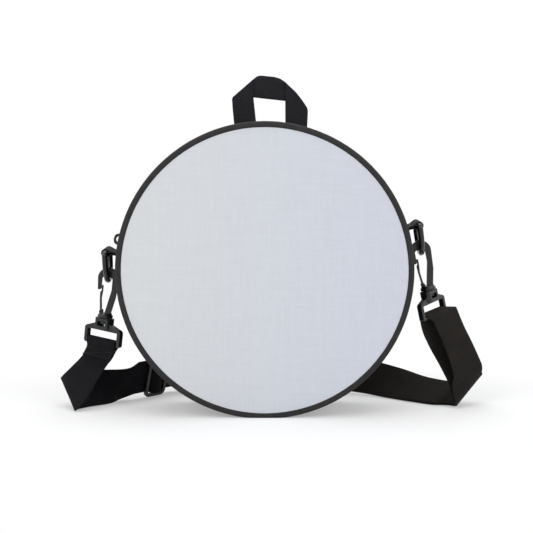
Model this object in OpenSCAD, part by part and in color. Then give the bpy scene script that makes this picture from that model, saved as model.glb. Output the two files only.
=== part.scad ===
/* [Bag] */
// Outside diameter of the bag over its edge bindings
bag_d = 305; // [220:1:420]
// Depth of the bag from the front face to the back face
bag_depth = 85; // [60:1:140]
// How far the round bottom is pressed flat by the floor
bag_sink = 1.3; // [0.5:0.1:4]
// Thickness of the outer fabric
fabric_t = 1.2; // [0.6:0.1:2.5]
// Thickness of the padding in the round faces
padding_t = 3; // [1:0.5:6]
// Thickness of the lining
lining_t = 0.6; // [0.3:0.1:1.5]
// Thickness of the gusset's fabric
gusset_t = 1.5; // [0.8:0.1:3]
// Gusset set in from the edge of the bindings
gusset_inset = 1; // [0.5:0.1:3]

/* [Binding] */
// Width of the binding seen from the front
binding_w = 5.6; // [4:0.1:10]
// Thickness of one fold of the binding
binding_wrap = 0.7; // [0.4:0.1:1.5]
// Rounding of the binding's outer corners
binding_round = 2.4; // [1:0.1:2.8]

/* [Zipper] */
// Middle of the mouth, in degrees from the top toward the right
mouth_mid_angle = -7; // [-12:1:0]
// Half of the mouth, in degrees
mouth_half_angle = 75; // [60:1:78]
// Half of the gap between the fabric strips beside the zipper
zip_gap_half = 7; // [6.5:0.5:10]
// Width of one zipper tape under its strip
zip_seam_w = 7; // [4:0.5:10]
// Thickness of a zipper tape
tape_t = 0.7; // [0.4:0.1:1]
// Half width of the closed teeth
chain_half_w = 2.9; // [2.5:0.1:3.5]
// Height of a tooth
tooth_h = 2.4; // [1.8:0.1:3]
// Distance from one tooth to the next on the same tape
tooth_pitch = 4; // [3.6:0.1:6]
// Width of a tooth's stem
tooth_stem_w = 1.3; // [0.9:0.1:1.4]
// Width of a tooth's head
tooth_head_w = 1.9; // [1.6:0.1:2]
// Reach of a tooth's head past the middle of the zipper
tooth_reach = 0.9; // [0.6:0.1:1.2]

/* [Zipper slider] */
// Run along the rim from the mouth's left end to the middle of the closed slider
slider_inset = 7.85; // [7.5:0.05:20]
// Length of the slider
slider_l = 11; // [9:0.5:14]
// Width of the slider at its shoulders
slider_w = 10.4; // [9:0.1:12]
// Thickness of a slider plate
slider_plate_t = 1.1; // [0.8:0.1:1.5]
// Radius of the bail on the slider
bail_r = 3.4; // [3.4:0.1:4]
// Thickness of the bail's wire
bail_wire = 1.3; // [1:0.1:1.4]
// Length of the pull from its pivot
pull_l = 21; // [16:0.5:24]
// Width of the pull
pull_w = 6; // [5.4:0.1:8]
// Thickness of the pull
pull_t = 1.5; // [1.2:0.1:2]

/* [Handle] */
// Width of the handle's webbing
handle_web_w = 24; // [18:0.5:30]
// Thickness of the handle's webbing
handle_web_t = 1.9; // [1.2:0.1:3]
// Outer width of the handle over its legs
handle_span = 81; // [70:1:110]
// Height of the handle over the bag
handle_rise = 45; // [40:1:70]
// Middle of the handle, right of the bag's middle
handle_x = 5.2; // [-10:0.1:10]
// Gap between a leg of the handle and the back binding
handle_gap = 0.3; // [0.1:0.1:1]

/* [Rings and tabs] */
// Thickness of a ring's rod
ring_rod = 5; // [4:0.1:6]
// Inner width of a D-ring
ring_inner_w = 38; // [30:0.5:45]
// Height of a D-ring from the middle of its bar to the middle of its bow
ring_rise = 30; // [28:0.5:40]
// Bend radius at the ends of the ring's bar
ring_corner_r = 2.8; // [2.6:0.1:3]
// Play of a tab on the straight bar of its ring, at each side
tab_play = 1; // [0.4:0.1:3]
// Thickness of a tab's webbing
tab_t = 1.6; // [1:0.1:2]
// Length of a tab sewn flat on the gusset
tab_sewn_l = 12; // [8:0.5:14]
// Distance of a ring's bar from the gusset
ring_standoff = 14.6; // [12:0.1:18]
// Run along the rim from the mouth's left end to the left tab's neck
left_tab_run = 5.76; // [4:0.02:12]
// Run along the rim from the mouth's right end to the right tab's neck
right_tab_run = 16.23; // [12:0.01:24]

/* [Hooks] */
// Distance from a hook's collar to the ring that it carries
hook_reach = 40; // [38:0.5:46]
// Thickness of a hook's bow over its eye
bow_top_t = 9.6; // [8:0.1:10.4]
// Thickness of a hook
hook_t = 7; // [6:0.1:8]
// Radius of a hook's collar
collar_r = 8.1; // [7:0.1:9]
// Height of a hook's collar
collar_h = 4.8; // [3:0.1:6]
// Radius of the swivel stem
stem_r = 3.3; // [2.5:0.1:3.6]
// Play of the stem in the neck
stem_play = 0.1; // [0.05:0.01:0.2]
// Radius of the head that holds the stem
stem_head_r = 5; // [4.4:0.1:5.2]
// Width of the neck of a swivel frame
neck_w = 20; // [18:0.5:22]
// Play of the strap in a swivel frame, at each side
frame_play = 0.86; // [0.5:0.02:3]
// Height of the webbing slot of a swivel frame
frame_slot_h = 15; // [13.5:0.5:20]
// Thickness of a swivel frame
frame_t = 6; // [5:0.1:7]
// Thickness of the bars of a swivel frame
frame_bar = 4.5; // [3.5:0.1:5]

/* [Strap] */
// Width of the shoulder strap
strap_w = 38; // [36:0.5:38.5]
// Thickness of the shoulder strap
strap_t = 1.8; // [1.2:0.1:2.4]
// Length of the stitched end below the left frame
strap_end_l = 9; // [7:0.5:16]
// Length of the tri-glide along the strap
glide_l = 30; // [28:0.5:36]
// Play of the strap in the tri-glide, at each side
glide_play = 1; // [0.5:0.1:3]
// Thickness of the tri-glide
glide_t = 3.6; // [3:0.1:4]
// Width of the tri-glide's rims
glide_rim = 4; // [3.4:0.1:4.4]
// Thickness of the tri-glide's middle bar
glide_bar = 4; // [3:0.1:4.2]
// Length of the strap's end sewn below the tri-glide
glide_tail_l = 12; // [8:0.5:18]

/* [Hidden] */

// Overrun of a cut past the face that it opens
over = 1;
// Overlap of two shapes that make up one piece
fuse = 0.25;
// Fineness of round faces
fine = 96;
fine_wire = 32;
// Steps of the binding's rounded corners
round_steps = 4;

// Gaps between pieces that move past each other
seam_gap = 0.3;
soft_gap = 0.3;
run_gap = 0.3;
end_gap = 0.4;

bag_r = bag_d / 2;
bag_z = bag_r - bag_sink;
front_y = -bag_depth / 2;
stack_t = fabric_t + padding_t + lining_t;
binding_t = stack_t + 2 * binding_wrap;
gusset_r = bag_r - gusset_inset;
gusset_in_r = gusset_r - gusset_t;
gusset_half_y = bag_depth / 2 - stack_t - binding_wrap;
panel_r = bag_r - binding_wrap - end_gap / 2;
mouth_h = bag_r * cos(mouth_half_angle);

// A frame with x up, y to the right and z to the back, at the bag's middle
module bag_frame() {
    translate([0, 0, bag_z]) rotate(a=-120, v=[1, 1, 1]) children();
}

// A spot on the gusset: x outward, y along the rim toward the right, z to the back
module at_rim(place, r=0) {
    bag_frame() rotate([0, 0, place]) translate([r, 0, 0]) children();
}

module floor_cut() {
    difference() {
        children();
        translate([-bag_d, -bag_d, -bag_d]) cube([2 * bag_d, 2 * bag_d, bag_d]);
    }
}

// Space over the mouth's fold line, or under it
module over_mouth(lower=false) {
    gap = seam_gap / 2;
    bag_frame() rotate([0, 0, mouth_mid_angle])
        translate([lower ? mouth_h - gap - 2 * bag_d : mouth_h + gap, -bag_d, -bag_d])
            cube([2 * bag_d, 2 * bag_d, 2 * bag_d]);
}

module mouth_part(lower=false) {
    intersection() {
        children();
        over_mouth(lower);
    }
}

// A flat disc of the faces, its outer side a given distance in from the face
module face_disc(front, t, depth_in) {
    y = front ? front_y + depth_in : -front_y - depth_in - t;
    floor_cut() bag_frame() translate([0, 0, y]) cylinder(r=panel_r, h=t, $fn=2 * fine);
}

// Part of a band round the rim
module rim_band(r_in, r_out, y_from, y_to, from, to) {
    bag_frame() rotate([0, 0, from]) rotate_extrude(angle=to - from, $fn=2 * fine)
        translate([r_in, y_from]) square([r_out - r_in, y_to - y_from]);
}

// Section of the folded binding, with its slot for the layers that it wraps
module binding_section() {
    r_in = bag_r - binding_w;
    slot_r = panel_r + end_gap / 4;
    lip = binding_wrap / 2;
    corner = [for (i = [0 : round_steps]) let (a = 90 * i / round_steps)
        [bag_r - binding_round * (1 - sin(a)), binding_round * (1 - cos(a))]];
    far_corner = [for (i = [round_steps : -1 : 0]) [corner[i][0], binding_t - corner[i][1]]];
    polygon(concat([[r_in, binding_wrap], [r_in, lip], [r_in + lip, 0]], corner, far_corner,
                   [[r_in + lip, binding_t], [r_in, binding_t - lip],
                    [r_in, binding_t - binding_wrap], [slot_r, binding_t - binding_wrap],
                    [slot_r, binding_wrap]]));
}

module binding_ring(front) {
    floor_cut() bag_frame() mirror([0, 0, front ? 0 : 1]) translate([0, 0, front_y - binding_wrap])
        rotate_extrude($fn=2 * fine) binding_section();
}

module front_panel_lower() {
    color("#d5dadd") mouth_part(true) face_disc(true, fabric_t, 0);
}

module front_panel_upper() {
    color("#d5dadd") mouth_part() face_disc(true, fabric_t, 0);
}

module front_padding_lower() {
    color("#f2f0e6") mouth_part(true) face_disc(true, padding_t, fabric_t);
}

module front_padding_upper() {
    color("#f2f0e6") mouth_part() face_disc(true, padding_t, fabric_t);
}

module front_lining_lower() {
    color("#26262a") mouth_part(true) face_disc(true, lining_t, fabric_t + padding_t);
}

module front_lining_upper() {
    color("#26262a") mouth_part() face_disc(true, lining_t, fabric_t + padding_t);
}

module front_binding_lower() {
    color("#3c383a") mouth_part(true) binding_ring(true);
}

module front_binding_upper() {
    color("#3c383a") mouth_part() binding_ring(true);
}

module back_panel() {
    color("#1c1c1f") face_disc(false, fabric_t, 0);
}

module back_padding() {
    color("#f2f0e6") face_disc(false, padding_t, fabric_t);
}

module back_lining() {
    color("#26262a") face_disc(false, lining_t, fabric_t + padding_t);
}

module back_binding() {
    color("#3c383a") binding_ring(false);
}

mouth_from_angle = mouth_mid_angle - mouth_half_angle;
mouth_to_angle = mouth_mid_angle + mouth_half_angle;
lining_in_r = gusset_in_r - lining_t;

module gusset_lower() {
    color("#1c1c1f") floor_cut()
        rim_band(gusset_in_r, gusset_r, -gusset_half_y, gusset_half_y,
                 mouth_to_angle, mouth_from_angle + 360);
}

module gusset_lining() {
    color("#26262a")
        rim_band(lining_in_r, gusset_in_r, -gusset_half_y, gusset_half_y,
                 mouth_to_angle, mouth_from_angle + 360);
}

module gusset_zip_front() {
    color("#1c1c1f") mouth_part()
        rim_band(gusset_in_r, gusset_r, -gusset_half_y, -zip_gap_half, mouth_from_angle, mouth_to_angle);
}

module gusset_zip_back() {
    color("#1c1c1f")
        rim_band(gusset_in_r, gusset_r, zip_gap_half, gusset_half_y, mouth_from_angle, mouth_to_angle);
}

tape_in_r = gusset_in_r - tape_t;
tape_out_y = zip_gap_half + zip_seam_w;

module zip_tape_front() {
    color("#141416") mouth_part()
        rim_band(tape_in_r, gusset_in_r, -tape_out_y, -chain_half_w, mouth_from_angle, mouth_to_angle);
}

module zip_tape_back() {
    color("#141416")
        rim_band(tape_in_r, gusset_in_r, chain_half_w, tape_out_y, mouth_from_angle, mouth_to_angle);
}

degree_per_len = 180 / (PI * gusset_in_r);
tooth_angle = tooth_pitch * degree_per_len;
slider_angle = mouth_from_angle + slider_inset * degree_per_len;
slider_reach_angle = slider_l / 2 * degree_per_len;
// The closed slider's divider stands between the last teeth and the end of the tapes
chain_from_angle = slider_angle + tooth_head_w / 2 * degree_per_len;
stop_l = 4;
stop_w = 1.5;
stop_end_share = 0.985;
chain_to_angle = mouth_mid_angle + mouth_half_angle * stop_end_share - stop_l * degree_per_len;
tooth_count = floor((chain_to_angle - chain_from_angle) / tooth_angle) - 1;
tooth_mid_r = gusset_in_r - tape_t / 2;

// Outline of a tooth across its tape: a stem, a waist and a round-shouldered head
module tooth_outline() {
    stem = tooth_stem_w / 2;
    head = tooth_head_w / 2;
    shoulder = chain_half_w - tooth_reach;
    crown = chain_half_w - tooth_reach / 4;
    tip = chain_half_w + tooth_reach;
    nose = stem * 0.8;
    polygon([[-head, 0], [head, 0], [head, shoulder / 4], [stem, shoulder / 2], [stem, shoulder],
             [head * 0.92, crown], [head * 0.92, chain_half_w + tooth_reach / 2], [nose, tip],
             [-nose, tip], [-head * 0.92, chain_half_w + tooth_reach / 2], [-head * 0.92, crown],
             [-stem, shoulder], [-stem, shoulder / 2], [-head, shoulder / 4]]);
}

// Row of teeth seated on the edge of one tape; side -1 is the front tape
module teeth_row(side) {
    shift = side < 0 ? 0 : tooth_angle / 2;
    for (i = [0 : tooth_count - 1])
        at_rim(chain_from_angle + shift + i * tooth_angle, tooth_mid_r - tooth_h / 2)
            translate([0, 0, side * chain_half_w]) rotate([side < 0 ? 0 : 180, 0, 0]) rotate([0, 90, 0])
                rotate([0, 0, 90]) linear_extrude(tooth_h) tooth_outline();
}

module zip_teeth_front() {
    color("#0e0e10") teeth_row(-1);
}

module zip_teeth_back() {
    color("#0e0e10") teeth_row(1);
}

// Stops at the ends of the tapes: a box at the right end and a crimp at the left one
module zip_end_stops() {
    stop_mid_r = tooth_mid_r - tooth_h / 2;
    crimp_angle = slider_angle - slider_reach_angle - stop_w * degree_per_len;
    color("#0e0e10") {
        at_rim(chain_to_angle + stop_l / 2 * degree_per_len, stop_mid_r)
            translate([0, -stop_l / 2, -tooth_reach])
                cube([tooth_h, stop_l, chain_half_w + tooth_reach]);
        at_rim(crimp_angle, stop_mid_r) translate([0, -stop_w / 2, seam_gap])
            cube([tooth_h, stop_w, chain_half_w - seam_gap]);
    }
}

slide_gap = 0.15;
slider_flange_w = 1.1;
slider_neck_share = 0.74;
slider_half_h = tooth_h / 2 + slide_gap;
post_l = 2.4;
post_w = 2.2;

// Outline of a slider plate: wide shoulders at the closing end, a narrow mouth at the other
module slider_outline() {
    w = slider_w / 2;
    l = slider_l / 2;
    neck = w * slider_neck_share;
    polygon([[-l, -w * 0.8], [-l * 0.8, -w], [-l * 0.1, -w], [l, -neck], [l, neck], [-l * 0.1, w],
             [-l * 0.8, w], [-l, w * 0.8], [-l * 0.62, w * 0.3], [-l * 0.62, -w * 0.3]]);
}

// Local frame of the slider: x along the rim, y to the back, z outward
module slider_frame() {
    at_rim(slider_angle, tooth_mid_r) rotate(a=120, v=[1, 1, 1]) children();
}

bail_z = slider_half_h + slider_plate_t;
pivot_z = bail_z + run_gap + pull_t / 2;
bail_in_r = bail_r - bail_wire;

module slider_plates() {
    slot = tape_t + 2 * slide_gap;
    difference() {
        translate([0, 0, -bail_z]) linear_extrude(2 * bail_z) slider_outline();
        translate([-slider_l, -slider_w / 2 + slider_flange_w, -slider_half_h])
            cube([2 * slider_l, slider_w - 2 * slider_flange_w, 2 * slider_half_h]);
        translate([-slider_l, -slider_w, -slot / 2]) cube([2 * slider_l, 2 * slider_w, slot]);
    }
    translate([-slider_l / 2 * 0.62, 0, 0]) intersection() {
        translate([0, -post_w / 2, -slider_half_h]) cube([post_l, post_w, 2 * slider_half_h]);
        translate([0, 0, -slider_half_h]) cylinder(r=post_l, h=2 * slider_half_h, $fn=fine_wire);
    }
}

module zip_slider() {
    arch_w = pull_w / 3;
    color("#0c0c0e") slider_frame() {
        slider_plates();
        translate([0, 0, bail_z]) intersection() {
            rotate([90, 0, 0]) difference() {
                cylinder(r=bail_r, h=arch_w, center=true, $fn=fine_wire);
                cylinder(r=bail_in_r, h=arch_w + over, center=true, $fn=fine_wire);
            }
            translate([-bail_r, -arch_w, 0]) cube([2 * bail_r, 2 * arch_w, 2 * bail_r]);
        }
    }
}

// The pull lies up along the closed teeth, its pin under the slider's bail
module zip_pull() {
    pin_r = pull_t / 2;
    slot_w = pull_w / 3 + 2 * run_gap;
    slot_l = bail_r + run_gap;
    color("#0c0c0e") slider_frame() translate([0, 0, pivot_z]) {
        difference() {
            union() {
                translate([0, -pull_w / 2, -pin_r]) cube([pull_l - pull_w / 2, pull_w, pull_t]);
                translate([pull_l - pull_w / 2, 0, -pin_r])
                    cylinder(r=pull_w / 2, h=pull_t, $fn=fine_wire);
                rotate([90, 0, 0]) cylinder(r=pin_r, h=pull_w, center=true, $fn=fine_wire);
            }
            translate([pin_r, -slot_w / 2, -pull_t]) cube([slot_l, slot_w, 2 * pull_t]);
            translate([pull_l * 0.72, 0, -pull_t]) cylinder(r=pull_w / 5, h=2 * pull_t, $fn=fine_wire);
        }
    }
}

handle_y = gusset_half_y - handle_gap - handle_web_t / 2;
handle_axis_r = bag_r + handle_web_t / 2 + 2 * soft_gap;
handle_axis_z = bag_z + handle_axis_r;
anchor_top_z = handle_axis_z - handle_web_t / 2 - soft_gap;
// Points of the handle's outline in shares of its span and rise, from its middle and its axis
leg_left_shares = [[-0.5, 0], [-0.502, 0.53], [-0.30, 1.0], [-0.20, 1.0]];
leg_right_shares = [[0.20, 0.80], [0.36, 0.50], [0.475, 0.28], [0.5, 0.17], [0.49, 0]];
bar_top_shares = [[-0.502, 0.53], [-0.30, 1.0], [-0.10, 1.0], [0.07, 0.93], [0.20, 0.80],
                  [0.36, 0.50], [0.475, 0.28], [0.5, 0.17]];
bar_low_shares = [[0.48, 0.12], [0.20, 0.42], [-0.02, 0.49], [-0.21, 0.50]];

function on_handle(p) = [p[0] * handle_span, p[1] * handle_rise];
leg_in = handle_span / 2 - handle_web_w;
left_leg_points = concat([for (p = leg_left_shares) on_handle(p)], [[-leg_in, 0]]);
right_leg_points = concat([[leg_in, 0]], [for (p = leg_right_shares) on_handle(p)]);
bar_points = [for (p = concat(bar_top_shares, bar_low_shares)) on_handle(p)];

// A layer of the handle's webbing, standing in a plane across the bag's depth
module handle_layer(points, y) {
    translate([handle_x, y, handle_axis_z]) rotate([90, 0, 0])
        translate([0, 0, -handle_web_t / 2]) linear_extrude(handle_web_t) polygon(points);
}

module handle() {
    color("#232328") {
        handle_layer(left_leg_points, handle_y);
        handle_layer(right_leg_points, handle_y);
        handle_layer(bar_points, handle_y + handle_web_t);
        for (side = [-1, 1])
            translate([handle_x + side * (handle_span - handle_web_w) / 2, handle_y, handle_axis_z])
                rotate([0, 90, 0])
                    cylinder(r=handle_web_t / 2, h=handle_web_w * 0.98, center=true, $fn=fine_wire);
    }
}

// The sewn ends of the handle, standing up out of the back seam
module handle_anchors() {
    color("#232328") difference() {
        for (side = [-1, 1])
            translate([handle_x + side * (handle_span - handle_web_w) / 2 - handle_web_w / 2,
                       handle_y - handle_web_t / 2, bag_z + gusset_in_r * 0.9])
                cube([handle_web_w, handle_web_t, anchor_top_z - bag_z - gusset_in_r * 0.9]);
        bag_frame() translate([0, 0, -bag_depth]) cylinder(r=gusset_r, h=2 * bag_depth, $fn=2 * fine);
    }
}

// Places of the rings' bars on the rim, in degrees, and lean of the rings from straight down
ring_bar_r = gusset_r + ring_standoff;
ring_straight = ring_inner_w + ring_rod - 2 * ring_corner_r;
tab_w = ring_straight - 2 * tab_play;
left_angle = mouth_from_angle - left_tab_run * degree_per_len;
right_angle = mouth_to_angle + right_tab_run * degree_per_len;
left_ring_lean = -2;
right_ring_lean = 7.5;
loop_in_r = ring_rod / 2 + soft_gap;
loop_r = loop_in_r + tab_t;

// Section of a tab: a loop round the ring's bar on a doubled neck, and an end sewn on the gusset
module tab_outline(side) {
    sewn_r = gusset_r + 2 * tab_t;
    sewn_turn = tab_sewn_l * degree_per_len;
    reach = 2 * bag_r;
    difference() {
        union() {
            polygon([[gusset_in_r, -tab_t], [sewn_r, -tab_t], [ring_bar_r, -loop_r],
                     [ring_bar_r, loop_r], [sewn_r, tab_t], [gusset_in_r, tab_t]]);
            translate([ring_bar_r, 0]) circle(r=loop_r, $fn=2 * fine_wire);
            intersection() {
                circle(r=sewn_r, $fn=2 * fine);
                polygon([[0, 0], [reach, -side * tab_t],
                         [reach * cos(sewn_turn), side * reach * sin(sewn_turn)]]);
            }
        }
        translate([ring_bar_r, 0]) circle(r=loop_in_r, $fn=2 * fine_wire);
        polygon([[sewn_r + tab_t, 0], [ring_bar_r - loop_in_r / 2, -tab_t * 0.9],
                 [ring_bar_r - loop_in_r / 2, tab_t * 0.9]]);
        circle(r=gusset_r, $fn=2 * fine);
    }
}

module tab(place, side) {
    color("#1e1e22") at_rim(place) linear_extrude(tab_w, center=true) tab_outline(side);
}

module left_tab() {
    tab(left_angle, -1);
}

module right_tab() {
    tab(right_angle, 1);
}

function on_rim(place, r) = [r * sin(place), 0, bag_z + r * cos(place)];
left_bar = on_rim(left_angle, ring_bar_r);
right_bar = on_rim(right_angle, ring_bar_r);

// A ring hangs from its bar: x across the bag, y along the bar, z up, leaning outward
module ring_frame(bar, lean, side) {
    translate(bar) rotate([0, -side * lean, 0]) children();
}

module d_ring(bar, lean, side) {
    rod = ring_rod / 2;
    bow_mid_r = (ring_inner_w + ring_rod) / 2;
    side_l = ring_rise - bow_mid_r;
    color("#121214") ring_frame(bar, lean, side) {
        rotate([90, 0, 0]) cylinder(r=rod, h=ring_straight, center=true, $fn=fine_wire);
        for (end = [0, 1]) mirror([0, end, 0]) {
            translate([0, ring_straight / 2, -ring_corner_r]) rotate([0, -90, 0])
                rotate_extrude(angle=90, $fn=fine)
                    translate([ring_corner_r, 0]) circle(r=rod, $fn=fine_wire);
            translate([0, bow_mid_r, -side_l])
                cylinder(r=rod, h=side_l - ring_corner_r, $fn=fine_wire);
        }
        translate([0, 0, -side_l]) rotate([0, 90, 0]) rotate([0, 0, -90])
            rotate_extrude(angle=180, $fn=fine) translate([bow_mid_r, 0]) circle(r=rod, $fn=fine_wire);
    }
}

module left_d_ring() {
    d_ring(left_bar, left_ring_lean, -1);
}

module right_d_ring() {
    d_ring(right_bar, right_ring_lean, 1);
}

function under_bar(bar, lean, side) =
    bar + ring_rise * [side * sin(lean), 0, -cos(lean)];
left_rod = under_bar(left_bar, left_ring_lean, -1);
right_rod = under_bar(right_bar, right_ring_lean, 1);

// Lean of the hooks, and turn of their frames about the stems
left_hook_lean = 6;
right_hook_lean = 12;
left_frame_turn = -33;
right_frame_turn = 52;

// A hook's frame: z up along the stem from the underside of the collar, x toward the right
module hook_frame(rod, lean, side, turn=0) {
    translate(rod) rotate([0, -side * lean, 0]) translate([0, 0, -hook_reach]) rotate([0, 0, turn])
        children();
}

eye_gap = 1.1;
eye_in_x = -6.4;
eye_out_x = 4.4;
eye_round = 3;
beak_w = 4.6;
beak_l = 11;
arm_top_w = 6.4;
arm_low_w = 6.8;
arm_low_x = 5.8;
eye_top_z = hook_reach + ring_rod / 2 + eye_gap;
bow_mid_x = (eye_in_x - beak_w + eye_out_x + arm_top_w) / 2;
bow_half_w = (eye_out_x + arm_top_w - eye_in_x + beak_w) / 2;
bow_mid_z = eye_top_z + bow_top_t - bow_half_w;
beak_z = eye_top_z - beak_l - eye_round;

// Side outline of a hook: arm, bow and beak round the eye
module hook_outline() {
    low = collar_h;
    difference() {
        union() {
            translate([bow_mid_x, bow_mid_z]) intersection() {
                circle(r=bow_half_w, $fn=2 * fine_wire);
                translate([-2 * bow_half_w, 0]) square([4 * bow_half_w, 2 * bow_half_w]);
            }
            polygon([[eye_out_x + arm_top_w, bow_mid_z + fuse], [bow_mid_x, bow_mid_z + fuse],
                     [eye_out_x, beak_z], [arm_low_x - arm_low_w, low], [arm_low_x - arm_low_w, 0],
                     [arm_low_x, 0], [arm_low_x, low],
                     [eye_out_x + arm_top_w - arm_low_w / 5, low + hook_reach * 0.42]]);
            polygon([[eye_in_x - beak_w, bow_mid_z + fuse], [bow_mid_x, bow_mid_z + fuse],
                     [eye_in_x, bow_mid_z], [eye_in_x, beak_z + beak_w / 4],
                     [eye_in_x - beak_w / 5, beak_z], [eye_in_x - beak_w * 0.8, beak_z]]);
        }
        translate([eye_in_x + eye_round, eye_top_z - eye_round]) circle(r=eye_round, $fn=fine_wire);
        translate([eye_out_x - eye_round, eye_top_z - eye_round]) circle(r=eye_round, $fn=fine_wire);
        translate([eye_in_x + eye_round, beak_z])
            square([eye_out_x - eye_in_x - 2 * eye_round, eye_top_z - beak_z]);
        translate([eye_in_x, beak_z]) square([eye_out_x - eye_in_x, eye_top_z - eye_round - beak_z]);
    }
}

// Front outline of a hook: full thickness, with a rounded top and a slimmer waist
module hook_side_outline() {
    half = hook_t / 2;
    top = bow_mid_z + bow_half_w;
    polygon([[-half, 0], [half, 0], [half * 0.86, hook_reach * 0.45], [half, hook_reach * 0.8],
             [half, top - half], [half * 0.7, top - half * 0.3], [half * 0.3, top],
             [-half * 0.3, top], [-half * 0.7, top - half * 0.3], [-half, top - half],
             [-half, hook_reach * 0.8], [-half * 0.86, hook_reach * 0.45]]);
}

neck_h = 10.8;
neck_gap = 0.3;
neck_plate_h = 3.9;
head_h = 2.2;
neck_t = 12;
window_h = 4.6;
gate_t = 2;
gate_w = hook_t * 0.72;
gate_knuckle_r = 1.3;
gate_pin_r = 0.8;
gate_pin_play = 0.1;
gate_pin_x = -4.6;
gate_pin_z = collar_h + gate_knuckle_r + run_gap;
lug_r = gate_knuckle_r + gate_t / 2;
lug_w = (hook_t - gate_w) / 2 - run_gap;

// The two lugs beside the foot of the tongue, bored for its pin
module gate_lugs() {
    foot_h = gate_pin_z - collar_h * 0.8;
    for (y = [-1, 1])
        translate([gate_pin_x, y * (hook_t - lug_w) / 2, gate_pin_z]) rotate([90, 0, 0])
            difference() {
                union() {
                    cylinder(r=lug_r, h=lug_w, center=true, $fn=fine_wire);
                    translate([-lug_r * 0.7, -foot_h, -lug_w / 2])
                        cube([lug_r * 1.4, foot_h, lug_w]);
                }
                cylinder(r=gate_pin_r + gate_pin_play, h=2 * lug_w, center=true, $fn=fine_wire);
            }
}

module hook(rod, lean, side) {
    stem_l = neck_gap + neck_plate_h + neck_gap;
    color("#131416") hook_frame(rod, lean, side) {
        intersection() {
            rotate([90, 0, 0]) linear_extrude(2 * hook_t, center=true) hook_outline();
            rotate([0, 0, 90]) rotate([90, 0, 0]) linear_extrude(4 * bow_half_w, center=true)
                hook_side_outline();
        }
        cylinder(r=collar_r, h=collar_h * 0.6, $fn=fine);
        cylinder(r=collar_r * 0.86, h=collar_h, $fn=fine);
        gate_lugs();
        translate([0, 0, -stem_l]) cylinder(r=stem_r, h=stem_l + over, $fn=fine);
        translate([0, 0, -stem_l - head_h]) cylinder(r=stem_head_r, h=head_h, $fn=fine);
    }
}

module left_hook() {
    hook(left_rod, left_hook_lean, -1);
}

module right_hook() {
    hook(right_rod, right_hook_lean, 1);
}

// The springy tongue that closes the eye, its tip behind the beak
module gate(rod, lean, side) {
    tip_x = eye_in_x + run_gap;
    tip_z = beak_z + beak_w;
    mid_x = gate_pin_x - gate_t * 1.3;
    mid_z = (gate_pin_z + tip_z) / 2;
    color("#17181b") hook_frame(rod, lean, side) rotate([90, 0, 0]) {
        linear_extrude(gate_w, center=true) {
            translate([gate_pin_x, gate_pin_z]) circle(r=gate_knuckle_r, $fn=fine_wire);
            polygon([[gate_pin_x - gate_knuckle_r, gate_pin_z],
                     [gate_pin_x + gate_knuckle_r * 0.7, gate_pin_z],
                     [mid_x + gate_t, mid_z], [tip_x + gate_t * 0.8, beak_z - gate_t],
                     [tip_x + gate_t * 0.8, tip_z], [tip_x, tip_z], [tip_x, beak_z - gate_t * 0.4],
                     [mid_x - gate_t * 0.1, beak_z - gate_t * 1.6], [mid_x, mid_z]]);
        }
        translate([gate_pin_x, gate_pin_z, 0])
            cylinder(r=gate_pin_r, h=hook_t, center=true, $fn=fine_wire);
    }
}

module left_gate() {
    gate(left_rod, left_hook_lean, -1);
}

module right_gate() {
    gate(right_rod, right_hook_lean, 1);
}

slot_top_z = -neck_h - frame_bar * 0.7;
bar_r = frame_bar * 0.6;
strap_bar_z = slot_top_z - frame_slot_h + bar_r;
frame_in_w = strap_w + 2 * frame_play;
frame_w = frame_in_w + 2 * frame_bar * 0.92;

// A swivel frame: round neck with a bore and a window, shoulders, side arms and a strap bar
module swivel_frame(rod, lean, side, turn) {
    foot_z = strap_bar_z - bar_r;
    foot_r = bar_r + run_gap;
    half_w = frame_w / 2;
    color("#101113") hook_frame(rod, lean, side, turn) {
        difference() {
            union() {
                rotate([90, 0, 0]) linear_extrude(frame_t, center=true) {
                    polygon([[-neck_w / 2, -neck_h * 0.6], [neck_w / 2, -neck_h * 0.6],
                             [half_w - frame_bar * 0.4, -neck_h], [half_w, -neck_h - frame_bar * 0.4],
                             [half_w, strap_bar_z - foot_r * 0.4], [half_w - foot_r * 0.6, foot_z],
                             [-half_w + foot_r * 0.6, foot_z], [-half_w, strap_bar_z - foot_r * 0.4],
                             [-half_w, -neck_h - frame_bar * 0.4],
                             [-half_w + frame_bar * 0.4, -neck_h]]);
                }
                translate([0, 0, -neck_h - frame_bar / 3]) intersection() {
                    cylinder(r=neck_w / 2, h=neck_h + frame_bar / 3 - neck_gap, $fn=fine);
                    translate([-neck_w, -neck_t / 2, 0]) cube([2 * neck_w, neck_t, 2 * neck_h]);
                }
            }
            translate([0, 0, -neck_gap - neck_plate_h - over])
                cylinder(r=stem_r + stem_play, h=neck_plate_h + 2 * over, $fn=fine);
            translate([-stem_head_r - run_gap, -neck_t, -neck_gap - neck_plate_h - window_h])
                cube([2 * (stem_head_r + run_gap), 2 * neck_t, window_h]);
            translate([-frame_in_w / 2, -frame_t, foot_z - over])
                cube([frame_in_w, 2 * frame_t, slot_top_z - foot_z + over]);
        }
        translate([0, 0, strap_bar_z]) rotate([0, 90, 0])
            cylinder(r=bar_r, h=frame_in_w + frame_bar, center=true, $fn=2 * fine_wire);
    }
}

module left_swivel_frame() {
    swivel_frame(left_rod, left_hook_lean, -1, left_frame_turn);
}

module right_swivel_frame() {
    swivel_frame(right_rod, right_hook_lean, 1, right_frame_turn);
}

wrap_in_r = bar_r + soft_gap;
wrap_out_r = wrap_in_r + strap_t;
strap_end_from = 1.6 * wrap_out_r;
strap_end_z = strap_bar_z - strap_end_from - strap_end_l;

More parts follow.
